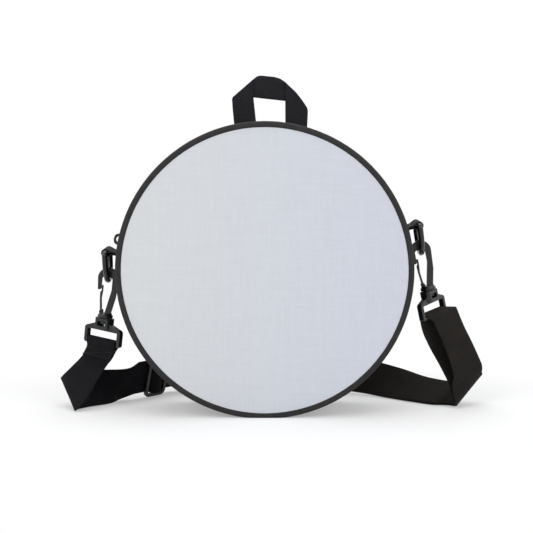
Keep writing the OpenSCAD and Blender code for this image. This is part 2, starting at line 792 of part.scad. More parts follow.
// The strap's stitched end: round the bar, then two layers sewn flat together
module left_strap_end() {
    color("#232328") hook_frame(left_rod, left_hook_lean, -1, left_frame_turn)
        translate([0, 0, strap_bar_z]) rotate([0, 90, 0]) rotate([0, 0, 90]) difference() {
            union() {
                cylinder(r=wrap_out_r, h=strap_w, center=true, $fn=2 * fine_wire);
                linear_extrude(strap_w, center=true)
                    polygon([[-wrap_out_r * 0.96, -wrap_out_r * 0.2],
                             [wrap_out_r * 0.96, -wrap_out_r * 0.2],
                             [strap_t, -strap_end_from], [strap_t, -strap_end_from - strap_end_l],
                             [-strap_t, -strap_end_from - strap_end_l],
                             [-strap_t, -strap_end_from]]);
            }
            cylinder(r=wrap_in_r, h=2 * strap_w, center=true, $fn=2 * fine_wire);
            linear_extrude(2 * strap_w, center=true)
                polygon([[-wrap_in_r * 0.7, -wrap_in_r * 0.5], [wrap_in_r * 0.7, -wrap_in_r * 0.5],
                         [0, -strap_end_from * 0.75]]);
        }
}

loop_leg_l = 6;

// The strap where it turns over the right frame's bar, its two layers hanging free
module right_strap_loop() {
    color("#2a2825") hook_frame(right_rod, right_hook_lean, 1, right_frame_turn)
        translate([0, 0, strap_bar_z]) rotate([0, 90, 0]) rotate([0, 0, 90])
            linear_extrude(strap_w, center=true) difference() {
                union() {
                    circle(r=wrap_out_r, $fn=2 * fine_wire);
                    translate([-wrap_out_r, -loop_leg_l]) square([2 * wrap_out_r, loop_leg_l]);
                }
                circle(r=wrap_in_r, $fn=2 * fine_wire);
                translate([-wrap_in_r, -loop_leg_l - over]) square([2 * wrap_in_r, loop_leg_l + over]);
            }
}

// The strap's way: one row a station. Place right and back of the bag's middle in shares of the
// bag's radius, lift of the lower edge in shares of the strap's width, turn and slope of the line
// across the strap in degrees, its length in shares of the width, and the gap between the two
// layers' middles in shares of the thickness. Under the frames the lift is in shares of the
// height of the strap's end.
left_drop_shares = [
    [-1.225, 0.01, 0.633, -41, -12, 1.02, 0],
    [-1.325, 0.015, 0.151, -58, -28, 1.28, 0]];
left_way_shares = [
    [-1.372, 0.03, 0.02, -62, -32, 1.36, 0],
    [-1.352, 0.075, 0.01, -64, -36, 1.32, 0],
    [-1.27, 0.12, 0.02, -64, -48, 1.14, 0],
    [-1.13, 0.175, 0.06, -42, -78, 1, 0],
    [-1.0, 0.265, 0.12, -33, -100, 1, 0]];
back_way_shares = [
    [-0.52, 0.60, 0.12, -62, -104, 1, 1.2],
    [-0.24, 0.66, 0.06, -80, -104, 1, 1.2],
    [0.1, 0.67, 0.05, -92, -104, 1, 1.2],
    [0.44, 0.62, 0.08, -108, -106, 1, 1.2],
    [0.74, 0.49, 0.1, -124, -110, 1, 1.2],
    [0.94, 0.35, 0.06, -130, -116, 1, 1.2],
    [1.14, 0.21, 0.01, -136, -112, 1, 1.2],
    [1.288, 0.157, 0.015, -144, -80, 1.06, 1.5],
    [1.402, 0.18, 0.033, -144, -50, 1.26, 1.83],
    [1.457, 0.162, 0.035, -142, -39, 1.4, 1.67]];
right_drop_shares = [
    [1.442, 0.097, 0.057, -140, -33, 1.34, 1.76],
    [1.402, 0.083, 0.227, -149, -19, 1.1, 2.14],
    [1.339, 0.06, 0.465, -152, -10, 1.02, 3.9],
    [1.27, 0.018, 0.723, -141, -6, 1, 5.27]];

// The tri-glide: place in shares of the bag's radius, heading of the strap there, and its lean
glide_place_shares = [-0.80, 0.44];
glide_heading = 48;
glide_lean = 14;
layer_share = 1.2;

function turned_x(turn) = [cos(turn), sin(turn), 0];
function lean_vec(v, a) = [v[0] * cos(a) + v[2] * sin(a), v[1], -v[0] * sin(a) + v[2] * cos(a)];
function hook_point(rod, lean, side, z) = rod + lean_vec([0, 0, z - hook_reach], -side * lean);
end_run = 3 * strap_t;
left_start_z = strap_end_z - soft_gap;
right_start_z = strap_bar_z - loop_leg_l - soft_gap;
left_bar_dir = lean_vec(turned_x(left_frame_turn), left_hook_lean);
right_bar_dir = lean_vec(turned_x(right_frame_turn), -right_hook_lean);
leg_spread = wrap_in_r + wrap_out_r;

// A station: middle, half of the line across, spread of the layers
function across(turn, slope) = [cos(slope) * cos(turn), cos(slope) * sin(turn), sin(slope)];
function station(s, lift) =
    let (half = strap_w / 2 * s[5] * across(s[3], s[4]))
    [[s[0] * bag_r, s[1] * bag_r, s[2] * lift + abs(half[2]) + strap_t / 2], half, s[6] * strap_t];
function stations(rows, lift=strap_w) = [for (s = rows) station(s, lift)];

// The strap through the tri-glide, seen along its own frame: x along the strap, y away from the
// front, z across the strap; the glide's plane lies in front of the strap by its seat
glide_slot_h = strap_w + 2 * glide_play;
glide_w = glide_slot_h + 2 * glide_rim;
glide_seat = glide_t / 2 + soft_gap + strap_t / 2;
glide_loop_in_r = glide_bar / 2 + soft_gap;
glide_loop_r = glide_loop_in_r + strap_t;
glide_reach = glide_l / 2 + glide_tail_l;
weave_out = glide_seat + glide_loop_r + soft_gap + strap_t / 2;
layer_gap = layer_share * strap_t;
glide_mid = [glide_place_shares[0] * bag_r, glide_place_shares[1] * bag_r,
             glide_w / 2 * cos(glide_lean) + (glide_seat + glide_t / 2) * sin(glide_lean)];
glide_along = turned_x(glide_heading);
glide_half = strap_w / 2 * across(glide_heading - 90, -90 - glide_lean);
glide_back = cross(glide_along, glide_half) / (strap_w / 2);
glide_line = glide_mid + glide_back * layer_gap / 2;

left_end_rows = [for (run = [0, end_run])
    [hook_point(left_rod, left_hook_lean, -1, left_start_z - run), strap_w / 2 * left_bar_dir, 0]];
right_end_rows = [for (run = [end_run, 0])
    [hook_point(right_rod, right_hook_lean, 1, right_start_z - run), -strap_w / 2 * right_bar_dir,
     leg_spread]];
glide_in = [glide_line - glide_along * glide_reach, glide_half, layer_gap];
glide_out = [glide_line + glide_along * glide_reach, glide_half, layer_gap];
left_way = concat(left_end_rows, stations(left_drop_shares, left_end_rows[0][0][2]),
                  stations(left_way_shares), [glide_in]);
whole_way = concat(left_way, [glide_out], stations(back_way_shares),
                   stations(right_drop_shares, right_end_rows[1][0][2]), right_end_rows);

// Smooth way through the stations, its tangents set by the spacing of the stations
function gap_after(rows, i) = max(norm(rows[i + 1][0] - rows[i][0]), strap_t / 9);
function slope_at(rows, i) =
    i == 0 ? (rows[1] - rows[0]) / gap_after(rows, 0)
    : i == len(rows) - 1 ? (rows[i] - rows[i - 1]) / gap_after(rows, i - 1)
    : let (a = gap_after(rows, i - 1), b = gap_after(rows, i))
      ((rows[i] - rows[i - 1]) / a * b + (rows[i + 1] - rows[i]) / b * a) / (a + b);
function blend_rows(rows, i, u) =
    let (g = gap_after(rows, i), a = rows[i], b = rows[i + 1])
    (2 * u ^ 3 - 3 * u ^ 2 + 1) * a + (u ^ 3 - 2 * u ^ 2 + u) * g * slope_at(rows, i)
    + (3 * u ^ 2 - 2 * u ^ 3) * b + (u ^ 3 - u ^ 2) * g * slope_at(rows, i + 1);
steps = 4;
function smooth(rows) = concat(
    [for (i = [0 : len(rows) - 2], k = [0 : steps - 1]) blend_rows(rows, i, k / steps)],
    [rows[len(rows) - 1]]);

function unit(v) = v / norm(v);
function row_normal(rows, i) =
    let (a = rows[max(i - 1, 0)][0], b = rows[min(i + 1, len(rows) - 1)][0])
    unit(cross(b - a, rows[i][1]));
// Rows moved to one of the two layers, side -1 or 1
function layer(rows, side) = [for (i = [0 : len(rows) - 1])
    [rows[i][0] + row_normal(rows, i) * side * rows[i][2] / 2, rows[i][1]]];
function part_of(rows, from, to) = [for (i = [from : to]) rows[i]];

// The weave: behind the rims, through the slots and over the middle bar with its sewn loop
rim_in_x = glide_l / 2 - glide_rim;
weave_turn = strap_t * 0.85;
weave_low_x = rim_in_x - strap_t * 0.55;
weave_high_x = glide_loop_r * 0.78;
function weave_shares(x) = [[x * (weave_low_x + weave_turn), 0], [x * weave_low_x, 0.04],
    [x * (weave_low_x + weave_high_x) / 2, 0.5], [x * weave_high_x, 0.96],
    [x * (weave_high_x - weave_turn), 1]];
function turned_round(rows) = [for (i = [len(rows) - 1 : -1 : 0]) rows[i]];
weave = [for (p = concat(weave_shares(-1), turned_round(weave_shares(1))))
    [glide_mid + glide_along * p[0] - glide_back * p[1] * weave_out, glide_half]];

// A stretch of strap as one closed skin. Both broad sides are split along the same diagonal, so
// a twisted stretch keeps its thickness.
module strap_stretch(rows) {
    corners = [for (i = [0 : len(rows) - 1])
        let (c = rows[i][0], h = rows[i][1], t = row_normal(rows, i) * strap_t / 2)
        each [c + h + t, c - h + t, c - h - t, c + h - t]];
    last = 4 * (len(rows) - 1);
    sides = [for (i = [0 : len(rows) - 2], k = [0 : 3])
        let (a = 4 * i + k, b = 4 * i + (k + 1) % 4)
        each k < 2 ? [[b, a, a + 4], [b + 4, b, a + 4]] : [[b, a, b + 4], [b + 4, a, a + 4]]];
    polyhedron(points=corners, convexity=6,
               faces=concat([[0, 1, 2], [0, 2, 3]], sides,
                            [[last + 2, last + 1, last], [last + 3, last + 2, last]]));
}

smooth_way = smooth(whole_way);
glide_row = (len(left_way) - 1) * steps;
way_end = len(smooth_way) - 1;
before_glide = layer(part_of(smooth_way, 0, glide_row), -1);
after_glide = part_of(smooth_way, glide_row + steps, way_end);

module strap_main() {
    color("#232328") strap_stretch(concat(before_glide, weave, layer(after_glide, -1)));
}

module strap_return() {
    color("#2a2825") strap_stretch(layer(after_glide, 1));
}

module glide_frame() {
    translate(glide_mid) rotate([0, 0, glide_heading]) rotate([glide_lean, 0, 0]) children();
}

module round_rect(w, h, r) {
    translate([-w / 2 + r, -h / 2]) square([w - 2 * r, h]);
    translate([-w / 2, -h / 2 + r]) square([w, h - 2 * r]);
    for (x = [-1, 1], y = [-1, 1])
        translate([x * (w / 2 - r), y * (h / 2 - r)]) circle(r=r, $fn=2 * fine_wire);
}

// The tri-glide: a rounded frame with a round middle bar between two webbing slots
module tri_glide() {
    color("#101113") glide_frame() translate([0, -glide_seat, 0]) {
        rotate([90, 0, 0]) linear_extrude(glide_t, center=true) difference() {
            round_rect(glide_l, glide_w, glide_rim * 1.6);
            round_rect(glide_l - 2 * glide_rim, glide_slot_h, glide_rim * 0.6);
        }
        cylinder(r=glide_bar / 2, h=glide_slot_h + glide_rim, center=true, $fn=2 * fine_wire);
    }
}

// The strap's end: round the middle bar and sewn back on itself behind the strap
module glide_strap_end() {
    front = strap_t / 2 + soft_gap + glide_seat;
    back = front + 2 * strap_t;
    tail_x = rim_in_x;
    color("#2a2825") glide_frame() translate([0, -glide_seat, 0])
        linear_extrude(strap_w, center=true) difference() {
            union() {
                circle(r=glide_loop_r, $fn=2 * fine_wire);
                polygon([[glide_loop_r * 0.8, glide_loop_r * 0.3], [tail_x, front],
                         [glide_reach - soft_gap, front], [glide_reach - soft_gap, back],
                         [tail_x, back], [-glide_loop_r * 0.3, glide_loop_r * 0.9]]);
            }
            circle(r=glide_loop_in_r, $fn=2 * fine_wire);
        }
}

front_panel_lower();
front_panel_upper();
front_padding_lower();
front_padding_upper();
front_lining_lower();
front_lining_upper();
front_binding_lower();
front_binding_upper();
back_panel();
back_padding();
back_lining();
back_binding();
gusset_lower();
gusset_lining();
gusset_zip_front();
gusset_zip_back();
zip_tape_front();
zip_tape_back();
zip_teeth_front();
zip_teeth_back();
zip_end_stops();
zip_slider();
zip_pull();
handle();
handle_anchors();
left_tab();
right_tab();
left_d_ring();
right_d_ring();
left_hook();
right_hook();
left_gate();
right_gate();
left_swivel_frame();
right_swivel_frame();
left_strap_end();
right_strap_loop();
strap_main();
strap_return();
tri_glide();
glide_strap_end();
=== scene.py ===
import math
import random

import bmesh
import bpy
import numpy as np
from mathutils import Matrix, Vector


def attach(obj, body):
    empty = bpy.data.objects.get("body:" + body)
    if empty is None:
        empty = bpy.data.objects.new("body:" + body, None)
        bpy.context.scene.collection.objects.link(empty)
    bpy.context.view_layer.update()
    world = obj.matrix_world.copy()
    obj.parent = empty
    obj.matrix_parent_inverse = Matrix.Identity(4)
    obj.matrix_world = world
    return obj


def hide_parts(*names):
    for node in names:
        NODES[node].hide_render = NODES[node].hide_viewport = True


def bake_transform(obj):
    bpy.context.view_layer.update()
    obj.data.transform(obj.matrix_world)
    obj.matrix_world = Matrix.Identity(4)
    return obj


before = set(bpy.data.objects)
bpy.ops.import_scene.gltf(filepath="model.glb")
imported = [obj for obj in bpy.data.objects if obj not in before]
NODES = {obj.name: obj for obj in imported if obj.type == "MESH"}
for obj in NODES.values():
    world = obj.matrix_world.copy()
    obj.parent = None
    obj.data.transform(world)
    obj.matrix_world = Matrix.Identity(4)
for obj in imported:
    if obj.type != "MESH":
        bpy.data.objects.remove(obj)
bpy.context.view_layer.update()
MM = 0.001

# Sizes of the bag, in millimetres and degrees
BAG_R = 152.5
BAG_Z = 151.2
FRONT_Y, BACK_Y = -42.5, 42.5
FABRIC_T = 1.2
STACK_T = 4.8
FACE_R, PAD_R = 151.2, 150.6
WRAP_T = 0.7
BINDING_W = 6.2
GUSSET_R = 151.5
GUSSET_IN_R = 150.0
GUSSET_HALF_Y = 37.0
LINING_IN_R = 149.35
MOUTH_MID = -7.0
MOUTH_HALF = 75.0
MOUTH_FROM = MOUTH_MID - MOUTH_HALF
MOUTH_TO = MOUTH_MID + MOUTH_HALF
ZIP_GAP = 7.0
TAPE_T = 0.7
TAPE_UNDER = 7.0
CHAIN_HALF_W = 2.9
SKIN_GAP = 0.1


def new_object(name, data):
    made = bpy.data.objects.new(name, data)
    bpy.context.scene.collection.objects.link(made)
    return made


# Camera, in metres, fitted to the photo
CAMERA_AT = (0.0018, -1.3354, 0.2926)
CAMERA_TILT = math.radians(84)
FOCAL_PX = 1279.0
FRAME_PX = 533.0
SENSOR_MM = 36.0
CLIP_NEAR, CLIP_FAR = 0.05, 60


def add_camera():
    data = bpy.data.cameras.new("camera")
    data.sensor_width = SENSOR_MM
    data.lens = FOCAL_PX / FRAME_PX * SENSOR_MM
    data.clip_start = CLIP_NEAR
    data.clip_end = CLIP_FAR
    camera = new_object("camera", data)
    camera.location = CAMERA_AT
    camera.rotation_euler = (CAMERA_TILT, 0, 0)
    bpy.context.scene.camera = camera


class Graph:
    """Short way to write a material's nodes."""

    def __init__(self, tree):
        self.tree = tree
        tree.nodes.clear()

    def node(self, kind, **values):
        made = self.tree.nodes.new("ShaderNode" + kind)
        for key, value in values.items():
            setattr(made, key, value)
        return made

    def put(self, target, value):
        """Links a socket, or sets a number, a vector or a colour without its alpha."""
        if isinstance(value, bpy.types.NodeSocket):
            self.tree.links.new(value, target)
        else:
            target.default_value = (*value, 1) if target.type == "RGBA" else value

    def fill(self, node, *values, **named):
        """Fills a node's first inputs in their order, and others by their names."""
        for target, value in zip(node.inputs, values):
            self.put(target, value)
        for key, value in named.items():
            self.put(node.inputs[key.replace("_", " ")], value)
        return node

    def math(self, operation, *inputs, clamp=False):
        return self.fill(self.node("Math", operation=operation, use_clamp=clamp), *inputs).outputs[0]

    def add(self, a, b):
        return self.math("ADD", a, b)

    def times(self, a, b, clamp=False):
        return self.math("MULTIPLY", a, b, clamp=clamp)

    def sine(self, run, pitch):
        """A wave along a run, one for each pitch."""
        return self.math("SINE", self.times(run, 2 * math.pi / pitch))

    def mix(self, share, a, b, blend="MIX"):
        made = self.node("Mix", data_type="RGBA", blend_type=blend)
        self.put(made.inputs[0], share)
        self.put(made.inputs[6], a)
        self.put(made.inputs[7], b)
        return made.outputs[2]

    def noise(self, at, scale, detail=2.0):
        made = self.node("TexNoise")
        return self.fill(made, Vector=at, Scale=scale, Detail=detail, Roughness=0.5).outputs["Fac"]

    def stretched_noise(self, at, scales, detail):
        moved = self.fill(self.node("Mapping"), Vector=at, Scale=scales)
        return self.noise(moved.outputs[0], 1.0, detail)

    def ramp(self, value, span, to=(0.0, 1.0)):
        """A value brought from one span to another."""
        return self.fill(self.node("MapRange"), value, *span, *to).outputs[0]

    def shares(self, *parts):
        """The sum of some values, each brought from its span to its share of the whole."""
        total, *others = [self.ramp(value, span, (0.0, share)) for value, span, share in parts]
        for other in others:
            total = self.add(total, other)
        return total

    def bump(self, height, depth, below=None):
        made = self.fill(self.node("Bump"), Height=height, Distance=depth, Strength=1.0)
        if below is not None:
            self.fill(made, Normal=below)
        return made.outputs[0]

    def axes(self, vector):
        return self.fill(self.node("SeparateXYZ"), vector).outputs

    def uv(self):
        """Places along and across the weave, in metres."""
        return self.axes(self.node("UVMap", uv_map="weave").outputs["UV"])

    def place(self):
        return self.node("TexCoord").outputs["Object"]

    def mix_shaders(self, share, a, b, output):
        both = self.fill(self.node("MixShader"), share, a.outputs[0], b.outputs[0])
        self.fill(output, Surface=both.outputs[0])

    def seen_directly(self):
        path = self.node("LightPath").outputs
        seen = self.math("MAXIMUM", path["Is Camera Ray"], path["Is Glossy Ray"])
        return self.math("MAXIMUM", seen, path["Is Transmission Ray"])


class MaterialGraph(Graph):
    """The nodes of a new material, with its shader and output."""

    def __init__(self, name):
        self.material = bpy.data.materials.new(name)
        self.material.use_nodes = True
        super().__init__(self.material.node_tree)
        self.shader = self.node("BsdfPrincipled")
        self.output = self.node("OutputMaterial")
        self.fill(self.output, Surface=self.shader.outputs[0])

    def shaded(self, **values):
        """Fills the shader's inputs and gives back the material."""
        self.fill(self.shader, **values)
        return self.material


# Stage: places and sizes in metres
WORLD_COLOUR = (0.98, 0.99, 1.0)
WORLD_LEVEL = 0.45
FLOOR_SIDE = 6.0
FLOOR_WHITE = 0.95
# The floor turns to plain white away from the bag, where no shadow falls
PLAIN_ACROSS, PLAIN_ALONG = 2.6, 4.2
PLAIN_MID_Y = 0.02
PLAIN_SPAN = (0.7, 1.05)
SHADOW_LIFT = 0.32
LAMPS = (
    ("lamp_left", (-1.3, -1.5, 1.5), (0, 0, 0.12), 1.4, 19, (1.0, 1.0, 0.985)),
    ("lamp_right", (1.5, -1.3, 1.3), (0, 0, 0.12), 1.4, 14.5, (0.95, 0.965, 1.0)),
    ("lamp_top", (0, 0.3, 1.9), (0, 0, 0.1), 1.8, 18, (1.0, 1.0, 1.0)),
)


def add_lamp(name, place, aim, side, power, colour):
    data = bpy.data.lights.new(name, "AREA")
    data.shape = "RECTANGLE"
    data.size = data.size_y = side
    data.energy = power
    data.color = colour
    lamp = new_object(name, data)
    lamp.location = place
    lamp.rotation_euler = (Vector(aim) - Vector(place)).to_track_quat("-Z", "Y").to_euler()


def add_world():
    world = bpy.data.worlds.new("world")
    bpy.context.scene.world = world
    world.use_nodes = True
    graph = Graph(world.node_tree)
    plain = graph.fill(graph.node("Background"), WORLD_COLOUR, WORLD_LEVEL)
    white = graph.fill(graph.node("Background"), (1, 1, 1))
    graph.mix_shaders(graph.seen_directly(), plain, white, graph.node("OutputWorld"))


def floor_material():
    graph = MaterialGraph("floor_white")
    glow = graph.node("Emission")
    spot = graph.axes(graph.node("NewGeometry").outputs["Position"])
    across = graph.times(spot["X"], PLAIN_ACROSS)
    along = graph.times(graph.math("SUBTRACT", spot["Y"], PLAIN_MID_Y), PLAIN_ALONG)
    away = graph.math("SQRT", graph.add(*[graph.math("POWER", side, 2.0) for side in (across, along)]))
    share = graph.times(graph.ramp(away, PLAIN_SPAN, (SHADOW_LIFT, 1.0)), graph.seen_directly())
    graph.mix_shaders(share, graph.shader, glow, graph.output)
    return graph.shaded(Base_Color=(FLOOR_WHITE,) * 3, Roughness=1.0, Specular_IOR_Level=0.0)


def add_stage():
    bpy.context.scene.view_settings.view_transform = "Standard"
    add_world()
    mesh = bpy.data.meshes.new("floor")
    corners = [(x * FLOOR_SIDE, y * FLOOR_SIDE, 0) for x, y in ((-1, -1), (1, -1), (1, 1), (-1, 1))]
    mesh.from_pydata(corners, [], [(0, 1, 2, 3)])
    new_object("floor", mesh)
    mesh.materials.append(floor_material())
    for lamp in LAMPS:
        add_lamp(*lamp)


# Materials
def face_cloth_material():
    """Pale plain weave: fine threads both ways with faint slubs, and painted light: brighter and warmer at
    the left, darker and cooler at the right.
    """
    graph = MaterialGraph("face_cloth")
    at = graph.place()
    warp = graph.stretched_noise(at, (1400, 300, 90), 1.0)
    weft = graph.stretched_noise(at, (90, 300, 1400), 1.0)
    slub_up = graph.stretched_noise(at, (420, 60, 26), 2.0)
    slub_across = graph.stretched_noise(at, (26, 60, 420), 2.0)
    threads = graph.add(warp, weft)
    slubs = graph.add(slub_up, slub_across)
    # Painted shade and light: the colour follows the threads' and slubs' relief, darker in its hollows and
    # lighter on its crests, with the weave's uneven tone
    shade = graph.add(graph.times(threads, 0.5), graph.times(slubs, 0.5))
    thread_shade_and_tone = graph.mix(graph.ramp(shade, (0.78, 1.22)), (0.590, 0.609, 0.643), (0.624, 0.643, 0.677))
    # Painted light: a tint that makes the cloth brighter and warmer at the left and darker and cooler at the
    # right, as the light falls across the face
    side = graph.ramp(graph.axes(at)["X"], (-0.15, 0.15))
    painted_light_tint = graph.mix(side, (1.035, 1.035, 1.0), (0.965, 0.965, 1.03))
    return graph.shaded(Base_Color=graph.mix(1.0, thread_shade_and_tone, painted_light_tint, "MULTIPLY"),
                        Normal=graph.bump(slubs, 0.00022, graph.bump(threads, 0.00012)),
                        Roughness=0.82, Specular_IOR_Level=0.25, Sheen_Weight=0.12, Sheen_Roughness=0.5)


def webbing_material(name, dark, light, sheen, gloss):
    """Woven webbing: slanted ribs in columns that turn back and forth, and plain selvedges."""
    rib, column, slope = 0.0013, 0.0024, 0.55
    graph = MaterialGraph(name)
    uv = graph.uv()
    turn = graph.math("PINGPONG", uv["X"], column)
    ribs = graph.sine(graph.add(uv["Y"], graph.times(turn, slope)), rib)
    gutter = graph.sine(turn, 2 * column)
    height = graph.add(graph.times(ribs, 0.5), graph.times(gutter, 0.4))
    at = graph.place()
    patchy, fuzz = graph.noise(at, 60.0, 3.0), graph.noise(at, 1800.0)
    # Painted shade and light: the colour is darker in the ribs' hollows and gutters and lighter on their
    # crests, mixed with random patchy tone and fuzz
    lit = graph.shares((height, (-0.6, 0.9), 0.55), (patchy, (0.3, 0.75), 0.25), (fuzz, (0.4, 0.8), 0.2))
    relief = graph.add(height, graph.times(fuzz, 0.35))
    return graph.shaded(Base_Color=graph.mix(lit, dark, light), Normal=graph.bump(relief, 0.00022),
                        Roughness=0.72, Specular_IOR_Level=gloss, Sheen_Weight=sheen, Sheen_Roughness=0.4,
                        Sheen_Tint=(0.8, 0.8, 0.85))


def tape_material(name, dark, light, rib, rough, sheen):
    """Fine cross-ribbed tape, with its ribs across the run."""
    graph = MaterialGraph(name)
    at = graph.place()
    wobble = graph.times(graph.noise(at, 300.0), rib * 0.5)
    ribs = graph.sine(graph.add(graph.uv()["Y"], wobble), rib)
    # Painted shade and light: the colour is darker between the ribs and lighter on them, mixed with random
    # tone
    lit = graph.shares((ribs, (-1.0, 1.0), 0.55), (graph.noise(at, 90.0, 4.0), (0.35, 0.7), 0.45))
    return graph.shaded(Base_Color=graph.mix(lit, dark, light), Normal=graph.bump(ribs, 0.00008),
                        Roughness=rough, Specular_IOR_Level=0.35, Sheen_Weight=sheen, Sheen_Roughness=0.35)


def cloth_material(name, dark, light, pitch):
    """Dense plain cloth with a fine two-way weave that follows the run of the piece."""
    graph = MaterialGraph(name)
    uv = graph.uv()
    weave = graph.times(graph.sine(uv["X"], pitch), graph.sine(uv["Y"], pitch))
    # Painted shade and light: the colour is darker in the weave's hollows and lighter on its crests, mixed
    # with random tone
    lit = graph.shares((weave, (-1.0, 1.0), 0.5), (graph.noise(graph.place(), 45.0, 4.0), (0.3, 0.7), 0.5))
    return graph.shaded(Base_Color=graph.mix(lit, dark, light), Normal=graph.bump(weave, 0.0001),
                        Roughness=0.8, Specular_IOR_Level=0.25, Sheen_Weight=0.2, Sheen_Roughness=0.5)


def plastic_material(name, colour, rough):
    """Moulded plastic: gloss broken by faint flow marks, paler where edges rub."""
    worn = 0.04
    graph = MaterialGraph(name)
    at = graph.place()
    flow = graph.noise(at, 130.0, 3.0)
    fine = graph.noise(at, 1500.0)
    edge = graph.node("NewGeometry").outputs["Pointiness"]
    rubbed = graph.times(graph.ramp(edge, (0.52, 0.62)), graph.ramp(fine, (0.4, 0.65)), clamp=True)
    pale = tuple(c + worn for c in colour)
    return graph.shaded(Base_Color=graph.mix(rubbed, colour, pale),
                        Normal=graph.bump(flow, 0.00006, graph.bump(fine, 0.000012)),
                        Roughness=graph.ramp(flow, (0.3, 0.7), (rough * 0.8, rough * 1.25)),
                        Specular_IOR_Level=0.42, Coat_Weight=0.1, Coat_Roughness=0.12)


def thread_material():
    graph = MaterialGraph("thread")
    twist = graph.noise(graph.place(), 2500.0, 1.0)
    colour = graph.mix(twist, (0.004, 0.004, 0.0045), (0.017, 0.0165, 0.017))
    return graph.shaded(Base_Color=colour, Roughness=0.6, Specular_IOR_Level=0.3, Sheen_Weight=0.06,
                        Sheen_Roughness=0.4)


MATERIALS = {
    "face": face_cloth_material(),
    "lining": cloth_material("lining_cloth", (0.02, 0.02, 0.023), (0.045, 0.045, 0.05), 0.0005),
    "gusset": cloth_material("gusset_cloth", (0.007, 0.007, 0.009), (0.022, 0.022, 0.025), 0.0008),
    "binding": tape_material("binding_tape", (0.0072, 0.0063, 0.0067), (0.0225, 0.02, 0.0212),
                             0.0011, 0.68, 0.02),
    "tape": tape_material("zip_tape", (0.006, 0.006, 0.007), (0.018, 0.018, 0.02), 0.0009, 0.6, 0.1),
    "web": webbing_material("handle_webbing", (0.004, 0.004, 0.0052), (0.022, 0.021, 0.027), 0.05, 0.18),
    "strap": webbing_material("strap_webbing", (0.003, 0.003, 0.0038), (0.013, 0.012, 0.015), 0.02, 0.08),
    # Painted light: a lighter, warmer copy of the strap's own webbing, for its run from the glide to the
    # right hook and back, standing in for how light falls there
    "strap_warm": webbing_material("strap_webbing_painted_light", (0.004, 0.0034, 0.0029), (0.024, 0.0195, 0.016),
                                   0.03, 0.1),
    "thread": thread_material(),
    "teeth": plastic_material("zip_teeth_plastic", (0.008, 0.008, 0.009), 0.35),
    "enamel": plastic_material("slider_enamel", (0.012, 0.012, 0.013), 0.25),
    "ring": plastic_material("ring_plastic", (0.006, 0.006, 0.007), 0.24),
    "hook": plastic_material("hook_plastic", (0.006, 0.007, 0.008), 0.26),
}


# Lines and curves
def unit(v):
    return v / max(np.linalg.norm(v), 1e-9)


def arc(x, y, radius, start, end, count):
    """Points on an arc about (x, y), from one angle to another in degrees."""
    angles = np.radians(np.linspace(start, end, count))
    return [(x + radius * math.cos(a), y + radius * math.sin(a)) for a in angles]


def along_line(points, x):
    """Value of a broken line of (x, value) points at x."""
    return float(np.interp(x, *zip(*points)))


def cubic(u, a, slope_a, b, slope_b):
    """A smooth curve from a to b with the slopes at its ends, at share u."""
    return ((2 * u ** 3 - 3 * u ** 2 + 1) * a + (u ** 3 - 2 * u ** 2 + u) * slope_a
            + (3 * u ** 2 - 2 * u ** 3) * b + (u ** 3 - u ** 2) * slope_b)


def smooth_path(points, steps):
    """A smooth line through points of any dimension."""
    pts = [np.asarray(p, float) for p in points]
    made = []
    for i in range(len(pts) - 1):
        a, b = pts[i], pts[i + 1]
        before = pts[i - 1] if i else a
        after = pts[i + 2] if i + 2 < len(pts) else b
        for k in range(steps):
            made.append(cubic(k / steps, a, (b - before) / 2, b, (after - a) / 2))
    made.append(pts[-1])
    return made


WAVES = 7


def smooth_noise(seed, period_count):
    """A smooth closed wobble over one turn, from a few seeded waves."""
    draw = random.Random(seed)
    waves = []
    for _ in range(WAVES):
        waves.append((draw.randint(1, period_count), draw.uniform(0, 2 * math.pi), draw.uniform(0.4, 1.0)))
    total = sum(w[2] for w in waves)

    def wobble(turn):
        return sum(size * math.sin(count * turn + start) for count, start, size in waves) / total

    return wobble


def outward(place):
    """The way out at a place on the rim, in degrees from the top, clockwise as the front is seen."""
    a = math.radians(place)
    return np.array([math.sin(a), 0, math.cos(a)])


def on_bag(place, radius, y):
    x, _, z = radius * outward(place)
    return (x, y, BAG_Z + z)


# Pieces and what they move with
def mouth_blend(piece):
    """Puts the place of a piece of the front half into its mesh."""
    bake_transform(piece)


def fit(piece, slot, body, *nodes):
    """Hides the solids a piece stands for and hangs it on the body it moves with, or puts a mouth piece's
    place into its mesh. slot, what it is made of, is not used.
    """
    if nodes:
        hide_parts(*nodes)
    if body == "mouth":
        mouth_blend(piece)
    else:
        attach(piece, body)
    return piece


def link_mesh(name, mesh, material):
    piece = new_object(name, mesh)
    mesh.materials.append(MATERIALS[material])
    mesh.polygons.foreach_set("use_smooth", [True] * len(mesh.polygons))
    mesh.update()
    return piece


